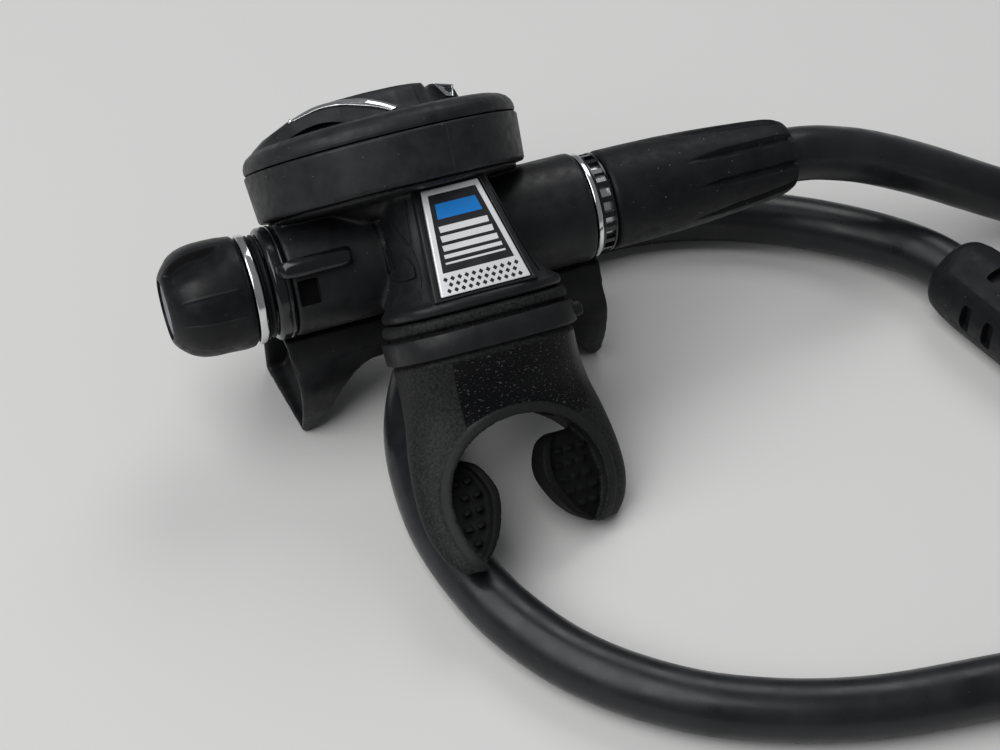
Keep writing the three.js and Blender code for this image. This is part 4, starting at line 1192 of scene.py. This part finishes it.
# Exhaust: the tee, lofted along x, and its soft valve.
tee = {
    "front": spline([(0, -10), (2, -11.2), (9, -13.6), (15.7, -14.2), (19, -12.4), (22, -8.9),
        (25.4, -6.4)], 8),
    "arch": [(38.5, 0), (34.6, 0), (33.4, 1.4), (31.6, 5), (27.6, 10.6), (23.2, 14.9), (19, 17.2),
        (13, 17.9), (0, 17.9)], "back": 12.6, "top": 25.4, "wall": 1.5, "voxel": 0.45,
}


def teeSection(x, wall, count=26):
    low = max(wall, along(tee["arch"], abs(x)) + wall)
    top = tee["top"] - wall
    bulge = ease(20, 36, abs(x))
    ring = []
    for i in range(count):
        z = mix(low, top, i / (count - 1))
        outward = along(tee["front"], z)
        ring.append((mix(max(-10, outward), outward, bulge) + wall, z))
    back = tee["back"] - wall
    ring += [(back - 3, top), (back - 0.9, top - 0.9), (back, top - 3), (back, mix(low, top, 0.4)),
        (back, low)]
    out = []
    for y, z in ring:
        slope = max(0, 6 - y) * 0.1 + (max(0,
                2 - z) * 0.5 if y < 0 else 0) if abs(x) > 36 and not wall else 0
        out.append(upright(mouthX + x - copysign(slope, x), teeY + y, z))
    return out


def makeTee():
    def body(name, wall, end):
        half = [end, 34.6, 33.4, 31.6, 29.6, 27.6, 25.4, 23.2, 21, 19, 16, 13]
        stations = [-x for x in half] + list(reversed(half))
        return loft(name, [teeSection(x, wall) for x in stations])
    shell = body("exhaustTee", 0, 38.5)
    carve(shell, [body("teeInside", tee["wall"], 45),
            turned("teeHole", rod(10.15, 20, 30), roundOutlet, 64)])
    made = fuse("exhaustTee", [shell], tee["voxel"], 5)
    for v in made.data.vertices:
        v.co.z = max(v.co.z, 0.00002)
    finishPiece(made, "tee", "stage", "hose_rubber", "exhaust_tee")
    valve = turned("exhaustValve", rounded([(0, 21.1), (8.6, 21.9), (9.2, 22.1), (9.2, 22.6), (0.7, 22.5),
            (0.6, 25.2), (0, 25.4)], 0.2), roundOutlet, 96)
    return finishPiece(valve, "pale", "exhaust_flap", "pale_silicone", "exhaust_valve")


makeTee()
print("exhaust made")

# Pieces that keep their CAD shape take their finish by slot.
slots = {s["node"]: s["material_slot"] for s in frame["record"]["subparts"]}
kept = [o for o in frame["nodes"].values() if not o.hide_render]
for node in kept:
    node.data.materials.clear()
    node.data.materials.append(finishes[slotFinish[slots[node.name]]])
print("kept CAD pieces:", len(kept))


# Floor, lamps and world.
studio = {
    "floor": (0.695, 0.693, 0.685), "world": 0.18, "key": 21.0, "keySize": 1.5,
    "keyPlace": (-0.8, -0.15, 1.3),
    "fill": 4.4, "fillSize": 0.7, "fillPlace": (0.55, 0.75, 1.2), "target": (0.02, 0, 0.02),
    "floorRough": 0.55, "floorLevel": 0.3, "air": (0.95, 0.97, 1, 1),
}


def makeStudio():
    mesh = bpy.data.meshes.new("floor")
    mesh.from_pydata([(-4, -4, 0), (4, -4, 0), (4, 4, 0), (-4, 4, 0)], [], [(0, 1, 2, 3)])
    floor = link("floor", mesh)
    made = bpy.data.materials.new("floorPaint")
    made.use_nodes = True
    shader = made.node_tree.nodes["Principled BSDF"]
    shader.inputs["Base Color"].default_value = (*studio["floor"], 1)
    shader.inputs["Roughness"].default_value = studio["floorRough"]
    shader.inputs["Specular IOR Level"].default_value = studio["floorLevel"]
    mesh.materials.append(made)
    for name in ("key", "fill"):
        lamp = bpy.data.lights.new(name, "AREA")
        lamp.energy, lamp.size = studio[name], studio[name + "Size"]
        place = studio[name + "Place"]
        aim(link(name, lamp), place, Vector(studio["target"]) - Vector(place))
    world = bpy.data.worlds.new("room")
    world.use_nodes = True
    sky = world.node_tree.nodes["Background"]
    sky.inputs["Color"].default_value = studio["air"]
    sky.inputs["Strength"].default_value = studio["world"]
    bpy.context.scene.world = world
    bpy.context.scene.view_settings.view_transform = "Standard"


makeStudio()
print("studio made")
